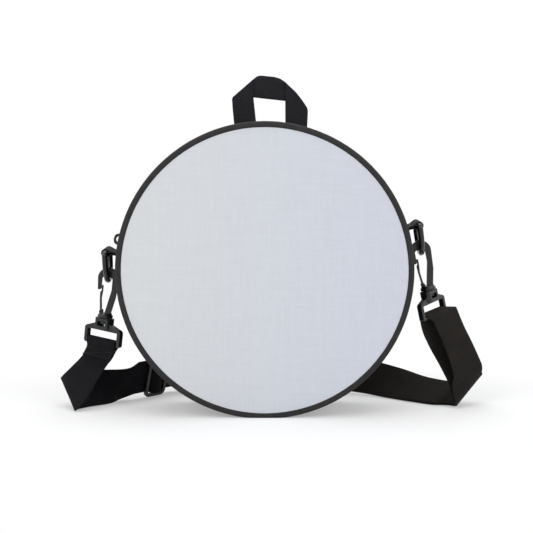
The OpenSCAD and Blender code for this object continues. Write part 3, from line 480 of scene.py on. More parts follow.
def grid_piece(name, points, uvs, material, closed=False):
    """A skin over rows of points, in millimetres. uvs has one more column, and one more row if closed."""
    points = np.asarray(points, float) * MM
    uvs = np.asarray(uvs, float) * MM
    rows, cols = points.shape[:2]
    faces, face_uvs = [], []
    for i in range(rows if closed else rows - 1):
        for j in range(cols):
            corners = ((i, j), (i, j + 1), (i + 1, j + 1), (i + 1, j))
            faces.append([(a % rows) * cols + b % cols for a, b in corners])
            face_uvs.extend(uvs[a, b] for a, b in corners)
    if not closed:
        for i, order in ((0, range(cols - 1, -1, -1)), (rows - 1, range(cols))):
            faces.append([i * cols + j for j in order])
            face_uvs.extend(uvs[i, j] for j in order)
    mesh = bpy.data.meshes.new(name)
    mesh.from_pydata(points.reshape(-1, 3).tolist(), [], faces)
    layer = mesh.uv_layers.new(name="weave")
    layer.data.foreach_set("uv", np.asarray(face_uvs, float).reshape(-1))
    turned = bmesh.new()
    turned.from_mesh(mesh)
    bmesh.ops.recalc_face_normals(turned, faces=turned.faces)
    turned.to_mesh(mesh)
    turned.free()
    return link_mesh(name, mesh, material)


def strip_section(half_w, half_t, across):
    """Shares across and through of a flat strip's section, with round edges."""
    edge = min(half_t / max(half_w, 1e-6), 0.5)
    top = [(s, 1.0) for s in np.linspace(-1 + edge, 1 - edge, across)]
    right = [(1 - edge + edge * c, s) for c, s in arc(0, 0, 1, 90, -90, 6)[1:-1]]
    return top + right + [(-s, -h) for s, h in top + right]


def ribbon(name, rows, thick, material, run=0.0, across=9, ends=(None, None)):
    """A strip along rows of (middle, half across) in millimetres. ends gives the middles beyond the
    two ends, so that a strip cut in pieces keeps its lie at the cuts."""
    middles, halves = zip(*rows)
    first = middles[0] if ends[0] is None else ends[0]
    last = middles[-1] if ends[1] is None else ends[1]
    chain = [first, *middles, last]
    points, uvs = [], []
    half_t = thick / 2
    for i, (middle, half) in enumerate(zip(middles, halves)):
        ahead = unit(chain[i + 2] - chain[i])
        normal = unit(np.cross(ahead, half))
        slip = float(half @ ahead)
        width = math.sqrt(max(float(half @ half) - slip * slip, 1e-6))
        if i:
            run += float(np.linalg.norm(middle - middles[i - 1]))
        section = strip_section(width, half_t, across)
        points.append([middle + half * s + normal * half_t * h for s, h in section])
        row_uv = [(width * s, run + slip * s) for s, _ in section]
        uvs.append(row_uv + [row_uv[0]])
    return grid_piece(name, points, uvs, material)


def revolved(name, section, material, place_from=0.0, place_to=360.0, steps=240, ripple=None):
    """A section of (radius, y) points turned about the bag's middle, from one place on the rim to another."""
    whole = place_to - place_from >= 360
    along = [0.0]
    for j in range(len(section)):
        a, b = section[j], section[(j + 1) % len(section)]
        along.append(along[-1] + math.hypot(b[0] - a[0], b[1] - a[1]))
    points, uvs = [], []
    for place in np.linspace(place_from, place_to, steps + 1):
        row = []
        for radius, y in section:
            out, shift = ripple(place, radius, y) if ripple else (0.0, 0.0)
            x, side, z = on_bag(place, radius + out, y + shift)
            row.append((x, side, max(z, 0.0)))
        points.append(row)
        uvs.append([(run, math.radians(place) * BAG_R) for run in along])
    if whole:
        points.pop()
    return grid_piece(name, points, uvs, material, closed=whole)


# A stitch: shares of its length, and of its radius there
STITCH_SHARES = ((-0.5, 0.25), (-0.36, 0.85), (0.0, 1.0), (0.36, 0.85), (0.5, 0.25))
STITCH_SIDES = 6
STITCH_DIP = 2.2


def stitch_rings(middle, ahead, normal, length, radius, sink):
    """Rings of points round one thread loop that dips at both ends."""
    side = unit(np.cross(normal, ahead))
    points = []
    for s, r in STITCH_SHARES:
        lift = radius * (1 - STITCH_DIP * s * s) - sink
        for x, y in arc(0, 0, radius * r, 0, 360, STITCH_SIDES + 1)[:-1]:
            points.append(middle + ahead * s * length + side * x + normal * (y + lift))
    return points


def stitches(name, path, normals, material, pitch, length, radius, sink):
    """A row of stitches along a path on a surface, in millimetres: one short thread loop each. normals
    is one direction for the whole path, or one for each of its points."""
    path = np.asarray(path, float)
    normals = np.broadcast_to(np.asarray(normals, float), path.shape)
    lengths = run_lengths(path)
    count = max(int(lengths[-1] / pitch), 1)
    pitch = lengths[-1] / count
    verts, faces = [], []
    for k in range(count):
        at = (k + 0.5) * pitch
        i = min(max(int(np.searchsorted(lengths, at)) - 1, 0), len(path) - 2)
        share = (at - lengths[i]) / max(lengths[i + 1] - lengths[i], 1e-9)
        middle = path[i] * (1 - share) + path[i + 1] * share
        normal = unit(unit(normals[i]) * (1 - share) + unit(normals[i + 1]) * share)
        base = len(verts)
        verts += stitch_rings(middle, unit(path[i + 1] - path[i]), normal, length, radius, sink)
        for first in range(base, len(verts) - STITCH_SIDES, STITCH_SIDES):
            for a in range(STITCH_SIDES):
                b = (a + 1) % STITCH_SIDES
                faces.append((first + a, first + b, first + STITCH_SIDES + b, first + STITCH_SIDES + a))
        faces.append(tuple(base + a for a in range(STITCH_SIDES - 1, -1, -1)))
        faces.append(tuple(len(verts) - STITCH_SIDES + a for a in range(STITCH_SIDES)))
    mesh = bpy.data.meshes.new(name)
    mesh.from_pydata([tuple(v * MM) for v in verts], [], faces)
    return link_mesh(name, mesh, material)


def run_lengths(points):
    lengths = [0.0]
    for a, b in zip(points, points[1:]):
        lengths.append(lengths[-1] + float(np.linalg.norm(b - a)))
    return lengths


SEWN_STITCH = {"pitch": 2.6, "length": 1.8, "radius": 0.22, "sink": 0.06}


def sew(name, path, normals, stitch, slot, body):
    fit(stitches(name, path, normals, "thread", **stitch), slot, body)


def sew_lines(name, lines, normal, body):
    """Stitches along several straight runs on one side of a piece."""
    for k, line in enumerate(lines):
        path = []
        for a, b in zip(line, line[1:]):
            path += [np.asarray(a) * (1 - s) + np.asarray(b) * s for s in np.linspace(0, 1, 12)]
        sew(f"{name}_{k}", path, normal, SEWN_STITCH, "webbing", body)


def crossed_box(spot, x, z):
    """Lines of a sewn box with its two diagonals, from its limits across and along."""
    corners = [spot(x[0], z[0]), spot(x[1], z[0]), spot(x[1], z[1]), spot(x[0], z[1])]
    return [corners + corners[:1], corners[0::2], corners[3:0:-2]]


def bare_copy(name, node, material):
    """A scene piece with the mesh of a CAD node."""
    mesh = NODES[node].data.copy()
    mesh.name = name
    mesh.materials.clear()
    welded = bmesh.new()
    welded.from_mesh(mesh)
    bmesh.ops.remove_doubles(welded, verts=welded.verts, dist=1e-6)
    welded.to_mesh(mesh)
    welded.free()
    return link_mesh(name, mesh, material)


def applied(piece):
    """Puts a piece's modifiers into its mesh."""
    bpy.context.view_layer.update()
    graph = bpy.context.evaluated_depsgraph_get()
    made = bpy.data.meshes.new_from_object(piece.evaluated_get(graph))
    piece.modifiers.clear()
    piece.data = made
    made.polygons.foreach_set("use_smooth", [True] * len(made.polygons))
    return piece


def moulded(name, node, body, material, slot, voxel=0.4, rounds=6):
    """A rigid piece as it comes out of a mould: the solid's form with its edges rounded over."""
    piece = bare_copy(name, node, material)
    remesh = piece.modifiers.new("round", "REMESH")
    remesh.mode = "VOXEL"
    remesh.voxel_size = voxel * MM
    soften = piece.modifiers.new("soften", "SMOOTH")
    soften.factor = 0.5
    soften.iterations = rounds
    return fit(applied(piece), slot, body, node)


# Faces: cloth over padding, crowned, with puckers at the seam
WAVE_H = 0.35
PUCKER_H = 0.22
PUCKER_FROM_SHARE = 0.8
PUCKER_SLOPE = 20
DISC_STEPS = 224
DISC_SHARES = list(np.linspace(0.02, 0.9, 30)) + [0.925, 0.945, 0.962, 0.976, 0.988, 1.0]


def face_disc(name, y_out, y_in, radius, material, crown, seed, facing):
    """A round padded face: a crowned outer side and a flat inner side, closed at the rim."""
    wave, ripple, pucker = smooth_noise(seed, 5), smooth_noise(seed + 1, 9), smooth_noise(seed + 2, 70)

    def bulge(share, turn):
        near_rim = max(0.0, (share - PUCKER_FROM_SHARE) / (1 - PUCKER_FROM_SHARE))
        height = crown * (1 - share ** 4)
        height += WAVE_H * share * (1 - share) * 4 * (wave(turn) + 0.5 * ripple(turn))
        return height + PUCKER_H * near_rim * pucker(turn) * (1 - share) * PUCKER_SLOPE

    points, uvs = [], []
    turns = [2 * math.pi * k / DISC_STEPS for k in range(DISC_STEPS + 1)]
    for outer, shares in ((True, DISC_SHARES), (False, DISC_SHARES[::-1])):
        for share in shares:
            row = []
            for turn in turns:
                x, z = share * radius * math.sin(turn), BAG_Z + share * radius * math.cos(turn)
                row.append((x, y_out + facing * bulge(share, turn) if outer else y_in, z))
            points.append(row[:-1])
            uvs.append([(x, z) for x, _, z in row])
    return grid_piece(name, points, uvs, material)


# Each face: which way it looks, body, cloth, slot, crown, seed, and the ends of its nodes' names
FACES = (
    ("front", -1, "mouth", "face", "face_fabric", 1.6, 21, ("_lower", "_upper")),
    ("back", 1, "bag", "gusset", "gusset_fabric", 1.4, 41, ("",)),
)
PAD_CROWN = 0.5


def build_faces():
    for word, side, body, mat, slot, crown, seed, ends in FACES:
        y = side * BACK_Y
        y_in = y - side * (FABRIC_T - SKIN_GAP)
        cloth = face_disc(word + "_cloth", y, y_in, FACE_R, mat, crown, seed, side)
        fit(cloth, slot, body, *[f"{word}_panel{end}" for end in ends])
        y_in = y - side * (FABRIC_T + SKIN_GAP)
        pad = face_disc(word + "_lining_pad", y - side * STACK_T, y_in, PAD_R, "lining", PAD_CROWN,
                        seed + 10, -side)
        fit(pad, "lining", body, *[f"{word}_{part}{end}" for part in ("padding", "lining") for end in ends])


# Bindings
BINDING_CORNER = 2.3
BINDING_INSIDE = 1.2
BINDING_SEAM = 1.25
BINDING_WAVE, BINDING_BUMP, BINDING_SHIFT = 0.12, 0.06, 0.1
THREAD_ABOVE_TAPE = 0.15
# Each binding: which way it faces, body, seed and nodes
BINDINGS = (
    ("front", -1, "mouth", 61, ("front_binding_lower", "front_binding_upper")),
    ("back", 1, "bag", 71, ("back_binding",)),
)
BINDING_STITCH = {"pitch": 3.2, "length": 2.1, "radius": 0.24, "sink": 0.12}


def binding_section(front):
    """Folded binding round the stack's edge, softly rounded, its two lips on the face and inside."""
    outer, inner, corner = BAG_R, BAG_R - BINDING_W, BINDING_CORNER
    low = FRONT_Y - WRAP_T
    high = low + STACK_T + 2 * WRAP_T
    lip = [(0, 0.45), (0.15, 0.1), (0.5, -0.1), (1.1, -0.18), (1.9, -0.3), (2.6, -0.28)]
    points = [(inner + r, low + y) for r, y in lip]
    points += arc(outer - corner, low + corner, corner, -90, 0, 7)[1:]
    points += arc(outer - corner, high - corner, corner, 0, 90, 7)[:-1]
    points += [(inner + 2.6, high), (inner + 1.2, high), (inner + 0.2, high - 0.1), (inner, high - 0.35),
               (inner + 0.1, high - WRAP_T), (outer - BINDING_INSIDE, high - WRAP_T),
               (outer - BINDING_INSIDE, low + WRAP_T), (inner + 0.1, low + WRAP_T)]
    return points if front else [(r, -y) for r, y in reversed(points)]


def binding_ripple(seed):
    """Small bumps of the binding, out from the rim and along the bag's depth."""
    wave, fine = smooth_noise(seed, 12), smooth_noise(seed + 1, 90)

    def ripple(place, radius, y):
        turn = math.radians(place)
        out = BINDING_WAVE * wave(turn) + BINDING_BUMP * fine(turn)
        return out, BINDING_SHIFT * fine(turn + 0.3 * radius)

    return ripple


def rim_path(radius, y, place_from, place_to, steps):
    places = np.linspace(place_from, place_to, steps + 1)
    return [on_bag(p, radius, y) for p in places], [outward(p) for p in places]


def build_bindings():
    for word, facing, body, seed, nodes in BINDINGS:
        tape = revolved(word + "_binding_tape", binding_section(facing < 0), "binding", steps=420,
                        ripple=binding_ripple(seed))
        fit(tape, "binding", body, *nodes)
    for word, facing, body, *_ in BINDINGS:
        y = facing * (BACK_Y + WRAP_T + THREAD_ABOVE_TAPE)
        path, _ = rim_path(BAG_R - BINDING_W + BINDING_SEAM, y, 0, 360, 360)
        sew(word + "_binding_stitches", path, (0, facing, 0), BINDING_STITCH, "binding", body)


# Gusset, zipper strips and tapes
TOPSTITCH_IN = 1.6
TOPSTITCH_END = 0.6
SEAM_PLACE = 0.7
SEAM_HALF_Y = 35
GUSSET_DIP, GUSSET_PULL = 0.6, 0.16
GUSSET_EDGE_SHARE = 1 / 9
GUSSET_STITCH = {"pitch": 3.0, "length": 2.0, "radius": 0.24, "sink": 0.1}


def band(name, material, radii, sides, across, places, steps, ripple=None):
    """A band of cloth round the rim, between two radii, two sides and two places."""
    ys = np.linspace(*sides, across + 1)
    section = [(radii[1], y) for y in ys] + [(radii[0], y) for y in ys[::-1]]
    return revolved(name, section, material, *places, steps, ripple)


def gusset_ripple(seed, size, edge_from, edge_to):
    """Soft waves in the gusset, dying out at its sewn edges."""
    wave, pull = smooth_noise(seed, 16), smooth_noise(seed + 3, 60)

    def ripple(place, radius, y):
        turn = math.radians(place)
        share = (y - edge_from) / (edge_to - edge_from)
        hump = max(0.0, 4 * share * (1 - share))
        near = max(0.0, 1 - min(share, 1 - share) / GUSSET_EDGE_SHARE)
        return size * hump * (wave(turn + y * 0.01) - GUSSET_DIP) - GUSSET_PULL * near * pull(turn), 0.0

    return ripple


def build_gusset():
    edges = (-GUSSET_HALF_Y, GUSSET_HALF_Y)
    below, mouth = (MOUTH_TO, MOUTH_FROM + 360), (MOUTH_FROM, MOUTH_TO)
    for node, slot, material, radii, wave, across, steps in (
            ("gusset_lower", "gusset_fabric", "gusset", (GUSSET_IN_R + 0.05, GUSSET_R), (81, 0.4), 26, 260),
            ("gusset_lining", "lining", "lining", (LINING_IN_R, GUSSET_IN_R - 0.45), (85, 0.3), 20, 200)):
        ripple = gusset_ripple(*wave, *edges)
        fit(band(node + "_cloth", material, radii, edges, across, below, steps, ripple), slot, "bag", node)
    for side, word, body in ((-1, "front", "mouth"), (1, "back", "bag")):
        sides = sorted((side * ZIP_GAP, side * GUSSET_HALF_Y))
        strip = band("gusset_strip_" + word, "gusset", (GUSSET_IN_R, GUSSET_R), sides, 12, mouth, 200,
                     gusset_ripple(91 + side, 0.3, *sides))
        fit(strip, "gusset_fabric", body, "gusset_zip_" + word)
        sides = sorted((side * CHAIN_HALF_W, side * (ZIP_GAP + TAPE_UNDER)))
        tape = band("zip_tape_cloth_" + word, "tape", (GUSSET_IN_R - TAPE_T, GUSSET_IN_R - 0.02), sides, 8,
                    mouth, 200)
        fit(tape, "zip_tape", body, "zip_tape_" + word)
        path, normals = rim_path(GUSSET_R + 0.02, side * (ZIP_GAP + TOPSTITCH_IN), MOUTH_FROM + TOPSTITCH_END,
                                 MOUTH_TO - TOPSTITCH_END, 220)
        sew("zip_topstitch_" + word, path, normals, GUSSET_STITCH, "gusset_fabric", body)
    for word, place, shift in (("left", MOUTH_FROM, -SEAM_PLACE), ("right", MOUTH_TO, SEAM_PLACE)):
        sides = np.linspace(-SEAM_HALF_Y, SEAM_HALF_Y, 40)
        path = [on_bag(place + shift, GUSSET_R + 0.05, y) for y in sides]
        sew("zip_end_seam_" + word, path, outward(place), GUSSET_STITCH, "gusset_fabric", "bag")


# The slider's bail drawn out into a tall loop: radius where it starts, place on the rim, and stretches
BAIL_FOOT = 152.25
BAIL_PLACE = -79.0
BAIL_HALF_Y = 1.6
BAIL_RISE = 3.2
BAIL_TOP_RISE = 1.5
BAIL_SPREAD = 0.95
BAIL_BAR = 2.3
# The pull: its root's place on the rim, and runs from it before and after its window is lengthened
PULL_ROOT = -79.28
PULL_RUNS = (0.8, 5.4, 21.6)
PULL_LONG_RUNS = (0.8, 10.6, 24.5)


def tall_bail(place, radius, y):
    """Draws the slider's bail out into the tall loop that stands past the bag's edge."""
    height = radius - BAIL_FOOT
    if height <= 0 or abs(y) > BAIL_HALF_Y:
        return place, radius
    under = min(height, BAIL_BAR)
    place = BAIL_PLACE + (place - BAIL_PLACE) * (1 + BAIL_SPREAD * min(height, 1.0))
    return place, BAIL_FOOT + under * BAIL_RISE + (height - under) * BAIL_TOP_RISE


def long_window(place, radius, y):
    """Lengthens the pull's window, so that it swings clear of the tall loop."""
    degree = math.radians(1) * BAG_R
    run = (place - PULL_ROOT) * degree
    if run > PULL_RUNS[0]:
        run = float(np.interp(run, PULL_RUNS, PULL_LONG_RUNS))
    return PULL_ROOT + run / degree, radius


def reshape(piece, change):
    """Moves a piece's points by their place on the rim, radius and y, in degrees and millimetres."""
    for vertex in piece.data.vertices:
        x, y, z = vertex.co / MM
        place = math.degrees(math.atan2(x, z - BAG_Z))
        vertex.co = Vector(on_bag(*change(place, math.hypot(x, z - BAG_Z), y), y)) * MM
    piece.data.update()


def build_zip():
    front = bare_copy("teeth_front", "zip_teeth_front", "teeth")
    front.data.polygons.foreach_set("use_smooth", [False] * len(front.data.polygons))
    fit(front, "zip_teeth", "mouth", "zip_teeth_front")
    for node in ("zip_teeth_back", "zip_end_stops"):
        NODES[node].data.materials.clear()
        NODES[node].data.materials.append(MATERIALS["teeth"])
    for name, node, body, change in (("slider", "zip_slider", "slider", tall_bail),
                                     ("pull_tab", "zip_pull", "pull", long_window)):
        reshape(moulded(name, node, body, "enamel", "slider_metal", 0.2, 3), change)


# Handle: its middle at the seam, and its outline from there, as (height, place across) or (across, height)
HANDLE_AT = np.array([5.2, 35.75, 305.25])
HANDLE_T = 1.9
HANDLE_BELLY, HANDLE_BELLY_HALF_W = 2.0, 16.0
LEFT_LEG_OUTER = [(-7, -37.6), (0, -38.4), (12, -39.5), (22.6, -40.2), (24.6, -39.1), (44.8, -15.7)]
LEFT_LEG_INNER = [(-3.5, -14.3), (23.9, -17.2), (45, -17.2)]
LEFT_LEG_TOP = 43.0
RIGHT_LEG_OUTER = [(-10, 39.8), (0, 40.4), (9.5, 40.7), (12, 40.4), (14.8, 39), (22.5, 33.6), (29.6, 27.9),
                   (41.2, 15.5)]
RIGHT_LEG_INNER = [(-4, 16.6), (45, 16.3)]
RIGHT_LEG_TOP = 39.6
BAR_TOP = [(-40.2, 23.6), (-16.6, 43.9), (-14.2, 45.9), (-12, 46.9), (-9, 47.2), (5.3, 45.8), (10.5, 44.2),
           (15.5, 41.2), (27.9, 29.6), (33.6, 22.5), (39, 14.8), (40.6, 11)]
BAR_LOW = [(-40.2, 23.2), (-17.2, 23.9), (16.6, 20.2), (38.9, 9.4), (40.5, 9)]
BAR_FROM, BAR_TO = -39.6, 40.0
LEG_FOOT_OUTER, LEG_FOOT_INNER = -6, -4
LEG_SINK = 0.4


def handle_row(a, b, y=0.0):
    """A row of the handle between two opposite points (across, height) on its edges."""
    a = HANDLE_AT + np.array([a[0], y, a[1]])
    b = HANDLE_AT + np.array([b[0], y, b[1]])
    return ((a + b) / 2, (b - a) / 2)


def handle_leg(outer, inner, top, flip):
    """Rows up a leg, from the gusset to its top."""
    def foot(x):
        on_rim = math.sqrt(GUSSET_R ** 2 - (HANDLE_AT[0] + x) ** 2)
        return BAG_Z + on_rim - HANDLE_AT[2] - LEG_SINK

    out_low, in_low = foot(along_line(outer, LEG_FOOT_OUTER)), foot(along_line(inner, LEG_FOOT_INNER))
    rows = []
    for share in np.linspace(0, 1, 36):
        h_out, h_in = out_low + (top - out_low) * share, in_low + (top - in_low) * share
        ends = [(along_line(outer, h_out), h_out), (along_line(inner, h_in), h_in)]
        rows.append(handle_row(*(ends[::-1] if flip else ends)))
    return rows


def build_handle():
    bar = []
    for x in np.linspace(BAR_FROM, BAR_TO, 60):
        belly = HANDLE_BELLY * max(0.0, 1 - (x / HANDLE_BELLY_HALF_W) ** 2)
        bar.append(handle_row((x, along_line(BAR_LOW, x)), (x, along_line(BAR_TOP, x)), HANDLE_T + belly))
    parts = (("handle_leg_left", handle_leg(LEFT_LEG_OUTER, LEFT_LEG_INNER, LEFT_LEG_TOP, False)),
             ("handle_leg_right", handle_leg(RIGHT_LEG_OUTER, RIGHT_LEG_INNER, RIGHT_LEG_TOP, True)),
             ("handle_top", bar))
    pieces = [ribbon(name, rows, HANDLE_T - SKIN_GAP, "web") for name, rows in parts]
    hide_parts("handle", "handle_anchors")
    for piece in pieces:
        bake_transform(piece)


# Ring tabs: the ring's bar about the bag's middle, the webbing, and how far it is sewn, in degrees
RING_BAR_R = 166.1
RING_BAR_ROOM = 2.5 + 0.35
TAB_W = 35.4
TAB_T = 1.5
TAB_SEAM_IN = 2.2
TAB_SEAM_TURNS = (1.4, 3.88)
SEWN_TURN = 4.58
LEFT_TAB_PLACE, RIGHT_TAB_PLACE = -84.2, 74.2


def build_tab(name, place, side):
    """Webbing folded round the ring's bar, its two ends sewn flat on the gusset."""
    inner, outer = GUSSET_R + 0.85, GUSSET_R + 2.4

    def polar(radius, turn):
        a = math.radians(turn)
        return (radius * math.cos(a), radius * math.sin(a))

    flat = [polar(inner, SEWN_TURN * share) for share in (1, 0.7, 0.4)]
    flat += [polar(inner, 0.25), (inner + 0.9, -0.6), (outer + 1.2, -0.85), (RING_BAR_R - 6.5, -1.2),
             (RING_BAR_R - 3.9, -2.3)]
    flat += arc(RING_BAR_R, 0, RING_BAR_ROOM + TAB_T / 2, -115, 115, 12)
    flat += [(RING_BAR_R - 3.9, 2.3), (RING_BAR_R - 6.5, 1.2), (outer + 1.3, 0.95), (outer + 0.35, 1.5),
             polar(outer, 1.1)]
    flat += [polar(outer, SEWN_TURN * share) for share in (0.45, 0.72, 1)]
    out = outward(place)
    along = np.array([out[2], 0, -out[0]]) * side

    def spot(p, y=0.0):
        return np.array([0, y, BAG_Z]) + out * p[0] + along * p[1]

    rows = [(spot(p), np.array([0, TAB_W / 2, 0])) for p in smooth_path(flat, 5)]
    piece = ribbon(name + "_webbing", rows, TAB_T, "web", across=11)
    fit(piece, "webbing", "bag", name)
    edge, top = TAB_W / 2 - TAB_SEAM_IN, outer + TAB_T / 2
    lines = crossed_box(lambda turn, y: spot(polar(top, turn), y), TAB_SEAM_TURNS, (-edge, edge))
    sew_lines(name + "_stitches", lines, out, "bag")


RING_SWELL = 0.45


def build_fittings():
    for side in ("left", "right"):
        ring = bare_copy(side + "_ring", side + "_d_ring", "ring")
        swell = ring.modifiers.new("swell", "DISPLACE")
        swell.mid_level = 0
        swell.strength = RING_SWELL * MM
        fit(applied(ring), "ring_plastic", side + "_ring", side + "_d_ring")
        for name, node, body, voxel, rounds in (("_snap_hook", "_hook", "_snap", 0.4, 6),
                                                ("_hook_tongue", "_gate", "_tongue", 0.2, 14),
                                                ("_ladder", "_swivel_frame", "_swivel", 0.4, 6)):
            moulded(side + name, side + node, side + body, "hook", "hook_plastic", voxel, rounds)
    moulded("glide_buckle", "tri_glide", "glide", "hook", "hook_plastic", 0.35, 5)


# Strap: sizes and places, in millimetres and degrees
STRAP_W = 38.0
STRAP_T = 1.8
RIBBON_T = STRAP_T - SKIN_GAP
LEFT_ROD = np.array([-164.203, 0, 138.004])
RIGHT_ROD = np.array([163.74, 0, 166.682])
HOOK_REACH = 40.0
LEFT_LEAN, RIGHT_LEAN = 6.0, 12.0
LEFT_TURN, RIGHT_TURN = -33.0, 52.0
STRAP_BAR_Z = -26.25
STRAP_END_Z = -42.93
WRAP_MID_R = 3.9
LOOP_LEG = 6.0
END_GAP = 0.3
END_RUN = 3 * STRAP_T
RIGHT_Z = STRAP_BAR_Z - LOOP_LEG - END_GAP
GLIDE_HEADING = 48.0
GLIDE_LEAN = 14.0
GLIDE_SEAT = 3.0
GLIDE_MID = np.array([-122.0, 67.1, 24.4483])
GLIDE_REACH = 27.0
GLIDE_BAR_R = 2.0
GLIDE_ROOM = 0.3
GLIDE_HALF_L = 15.0
GLIDE_RIM_W = 4.0
LAYER_GAP = 2.16
STEPS = 10
# How much the strap at the left has slid aside for each millimetre under the bar, and how that grows
LEFT_SLIP, LEFT_SLIP_GROWTH = 0.3, 0.04
# Lengths of strap cut off at each side of the glide, and ends given for the strap's bends, from its middle
GLIDE_PIECE_RUN = 34.0
GLIDE_BEND_LEFT, GLIDE_BEND_RIGHT = (-52, -22), (56, 24)
LEFT_BEND_START, RIGHT_BEND_START = (-172, 8, 20), (205, 8, 24)
# Where the weave starts along the strap at the right, and along its return to the glide
RIGHT_RUN, RETURN_RUN = 300, 100

# Stations of the strap: X, Y and height as shares, turn and slope, and shares of its width and gap
LEFT_DROP_SHARES = [
    [-1.245, 0.008, 0.633, -35, -12, 1.02, 0], [-1.338, 0.015, 0.151, -52, -28, 1.28, 0]]
LEFT_WAY_SHARES = [
    [-1.372, 0.03, 0.02, -62, -32, 1.36, 0], [-1.352, 0.075, 0.01, -64, -36, 1.32, 0],
    [-1.27, 0.12, 0.012, -64, -46, 1.12, 0], [-1.13, 0.175, 0.01, -42, -67, 1, 0],
    [-1.0, 0.265, 0.02, -33, -110, 1, 0]]
BACK_WAY_SHARES = [
    [-0.52, 0.60, 0.12, -62, -104, 1, 1.2], [-0.24, 0.66, 0.06, -80, -104, 1, 1.2],
    [0.1, 0.67, 0.05, -92, -104, 1, 1.2], [0.44, 0.62, 0.06, -108, -98, 1, 1.2],
    [0.74, 0.50, 0.03, -124, -76, 1, 1.2], [0.94, 0.41, 0.01, -128, -50, 1, 1.2],
    [1.14, 0.28, 0.02, -134, -32, 1, 1.3], [1.278, 0.19, 0.022, -142, -31, 1.05, 1.5],
    [1.385, 0.165, 0.03, -144, -39, 1.22, 1.83], [1.431, 0.145, 0.036, -142, -38, 1.35, 1.67]]
RIGHT_DROP_SHARES = [
    [1.424, 0.09, 0.055, -140, -33, 1.31, 1.76], [1.408, 0.08, 0.227, -149, -19, 1.12, 2.6],
    [1.366, 0.06, 0.465, -152, -10, 1.02, 4.5], [1.302, 0.018, 0.723, -145, -6, 1, 6.5]]
# Where the strap's two layers at the right hang in the photo: height, X, turn, and the outer edge's rise
OUTER_WAY = [
    (37, 217.4, 32, 0), (53, 211.6, 32.5, 0), (69, 204.6, 35, 0), (82, 198.4, 38, 0.3), (92, 193.6, 40, 1.2),
    (103, 189.0, 44, 4)]
INNER_WAY = [
    (37, 209.6, 30, 0), (53, 199.4, 33, 0), (69, 188.6, 38, 0), (82, 181.4, 42, 0), (92, 176.8, 47, 0),
    (96, 175.6, 50, 0), (102, 174.4, 52, 0)]
WAY_START, WAY_FULL = 28.0, 42.0
OUTER_BAR_ANGLE = 70.0
# The strap's left end in the frame's own section: (through, height) from the stitched edge to the bar
END_HALF_GAP = 0.95
END_SIDE = [
    (END_HALF_GAP, STRAP_END_Z + 3), (END_HALF_GAP, STRAP_END_Z + 7), (1.2, STRAP_END_Z + 9.5),
    (2.6, STRAP_BAR_Z - 4)]
END_SEAM_X = (-16.6, 16.6)
END_SEAM_Z = (STRAP_END_Z + 0.8, STRAP_END_Z + 8.2)


def turned_x(turn):
    return np.array([math.cos(math.radians(turn)), math.sin(math.radians(turn)), 0])


def leaned(v, lean):
    c, s = math.cos(math.radians(lean)), math.sin(math.radians(lean))
    return np.array([v[0] * c + v[2] * s, v[1], -v[0] * s + v[2] * c])


def left_hook(z):
    """A point on the left hook's own axis, at a height in its solid."""
    return LEFT_ROD + leaned((0, 0, z - HOOK_REACH), LEFT_LEAN)


def right_hook(z):
    return RIGHT_ROD + leaned((0, 0, z - HOOK_REACH), -RIGHT_LEAN)


def across(turn, slope):
    slope = math.radians(slope)
    return math.cos(slope) * turned_x(turn) + np.array([0, 0, math.sin(slope)])


GLIDE_ALONG = turned_x(GLIDE_HEADING)
GLIDE_HALF = STRAP_W / 2 * across(GLIDE_HEADING - 90, -90 - GLIDE_LEAN)
GLIDE_BACK = np.cross(GLIDE_ALONG, GLIDE_HALF) / (STRAP_W / 2)
GLIDE_LINE = GLIDE_MID + GLIDE_BACK * LAYER_GAP / 2
LEFT_DIR = leaned(turned_x(LEFT_TURN), LEFT_LEAN)
LEFT_BAR = STRAP_W / 2 * LEFT_DIR
RIGHT_BAR = STRAP_W / 2 * leaned(turned_x(RIGHT_TURN), -RIGHT_LEAN)


def row_of(middle, half, gap):
    """A row of the strap: its middle, half its width as a vector, and the gap between its layers."""
    return np.concatenate([middle, half, [gap]])


def station(shares, lift=STRAP_W):
    x, y, height, turn, slope, width, gap = shares
    half = STRAP_W / 2 * width * across(turn, slope)
    return row_of([x * BAG_R, y * BAG_R, height * lift + abs(half[2]) + STRAP_T / 2], half, gap * STRAP_T)


def smooth_rows(rows):
    """The strap's way through its stations, as the solids have it, in finer steps."""
    rows = np.array(rows)
    gaps = np.maximum(np.linalg.norm(np.diff(rows[:, :3], axis=0), axis=1), STRAP_T / 9)
    slopes = np.gradient(rows, np.concatenate([[0], np.cumsum(gaps)]), axis=0)
    made = []
    for i, gap in enumerate(gaps):
        ends = rows[i], gap * slopes[i], rows[i + 1], gap * slopes[i + 1]
        made += [cubic(k / STEPS, *ends) for k in range(STEPS)]
    made.append(rows[-1])
    return made


def layer(rows, side):
    """One layer of the strap, as rows of (middle, half across), to one side of its way."""
    made = []
    for i, row in enumerate(rows):
        a, b = rows[max(i - 1, 0)][:3], rows[min(i + 1, len(rows) - 1)][:3]
        normal = unit(np.cross(b - a, row[3:6]))
        made.append((row[:3] + normal * side * row[6] / 2, row[3:6]))
    return made


def slipped(z):
    """How far the strap has slid to the left, at a height below the left frame's bar."""
    run = max(0.0, STRAP_BAR_Z - WRAP_MID_R - z)
    return LEFT_SLIP * run * (1 + LEFT_SLIP_GROWTH * run)


def left_spot(y, z):
    """A point at the left frame: y behind its plane, z as its solid has it."""
    return left_hook(z) + leaned(turned_x(LEFT_TURN + 90), LEFT_LEAN) * y - LEFT_DIR * slipped(z)


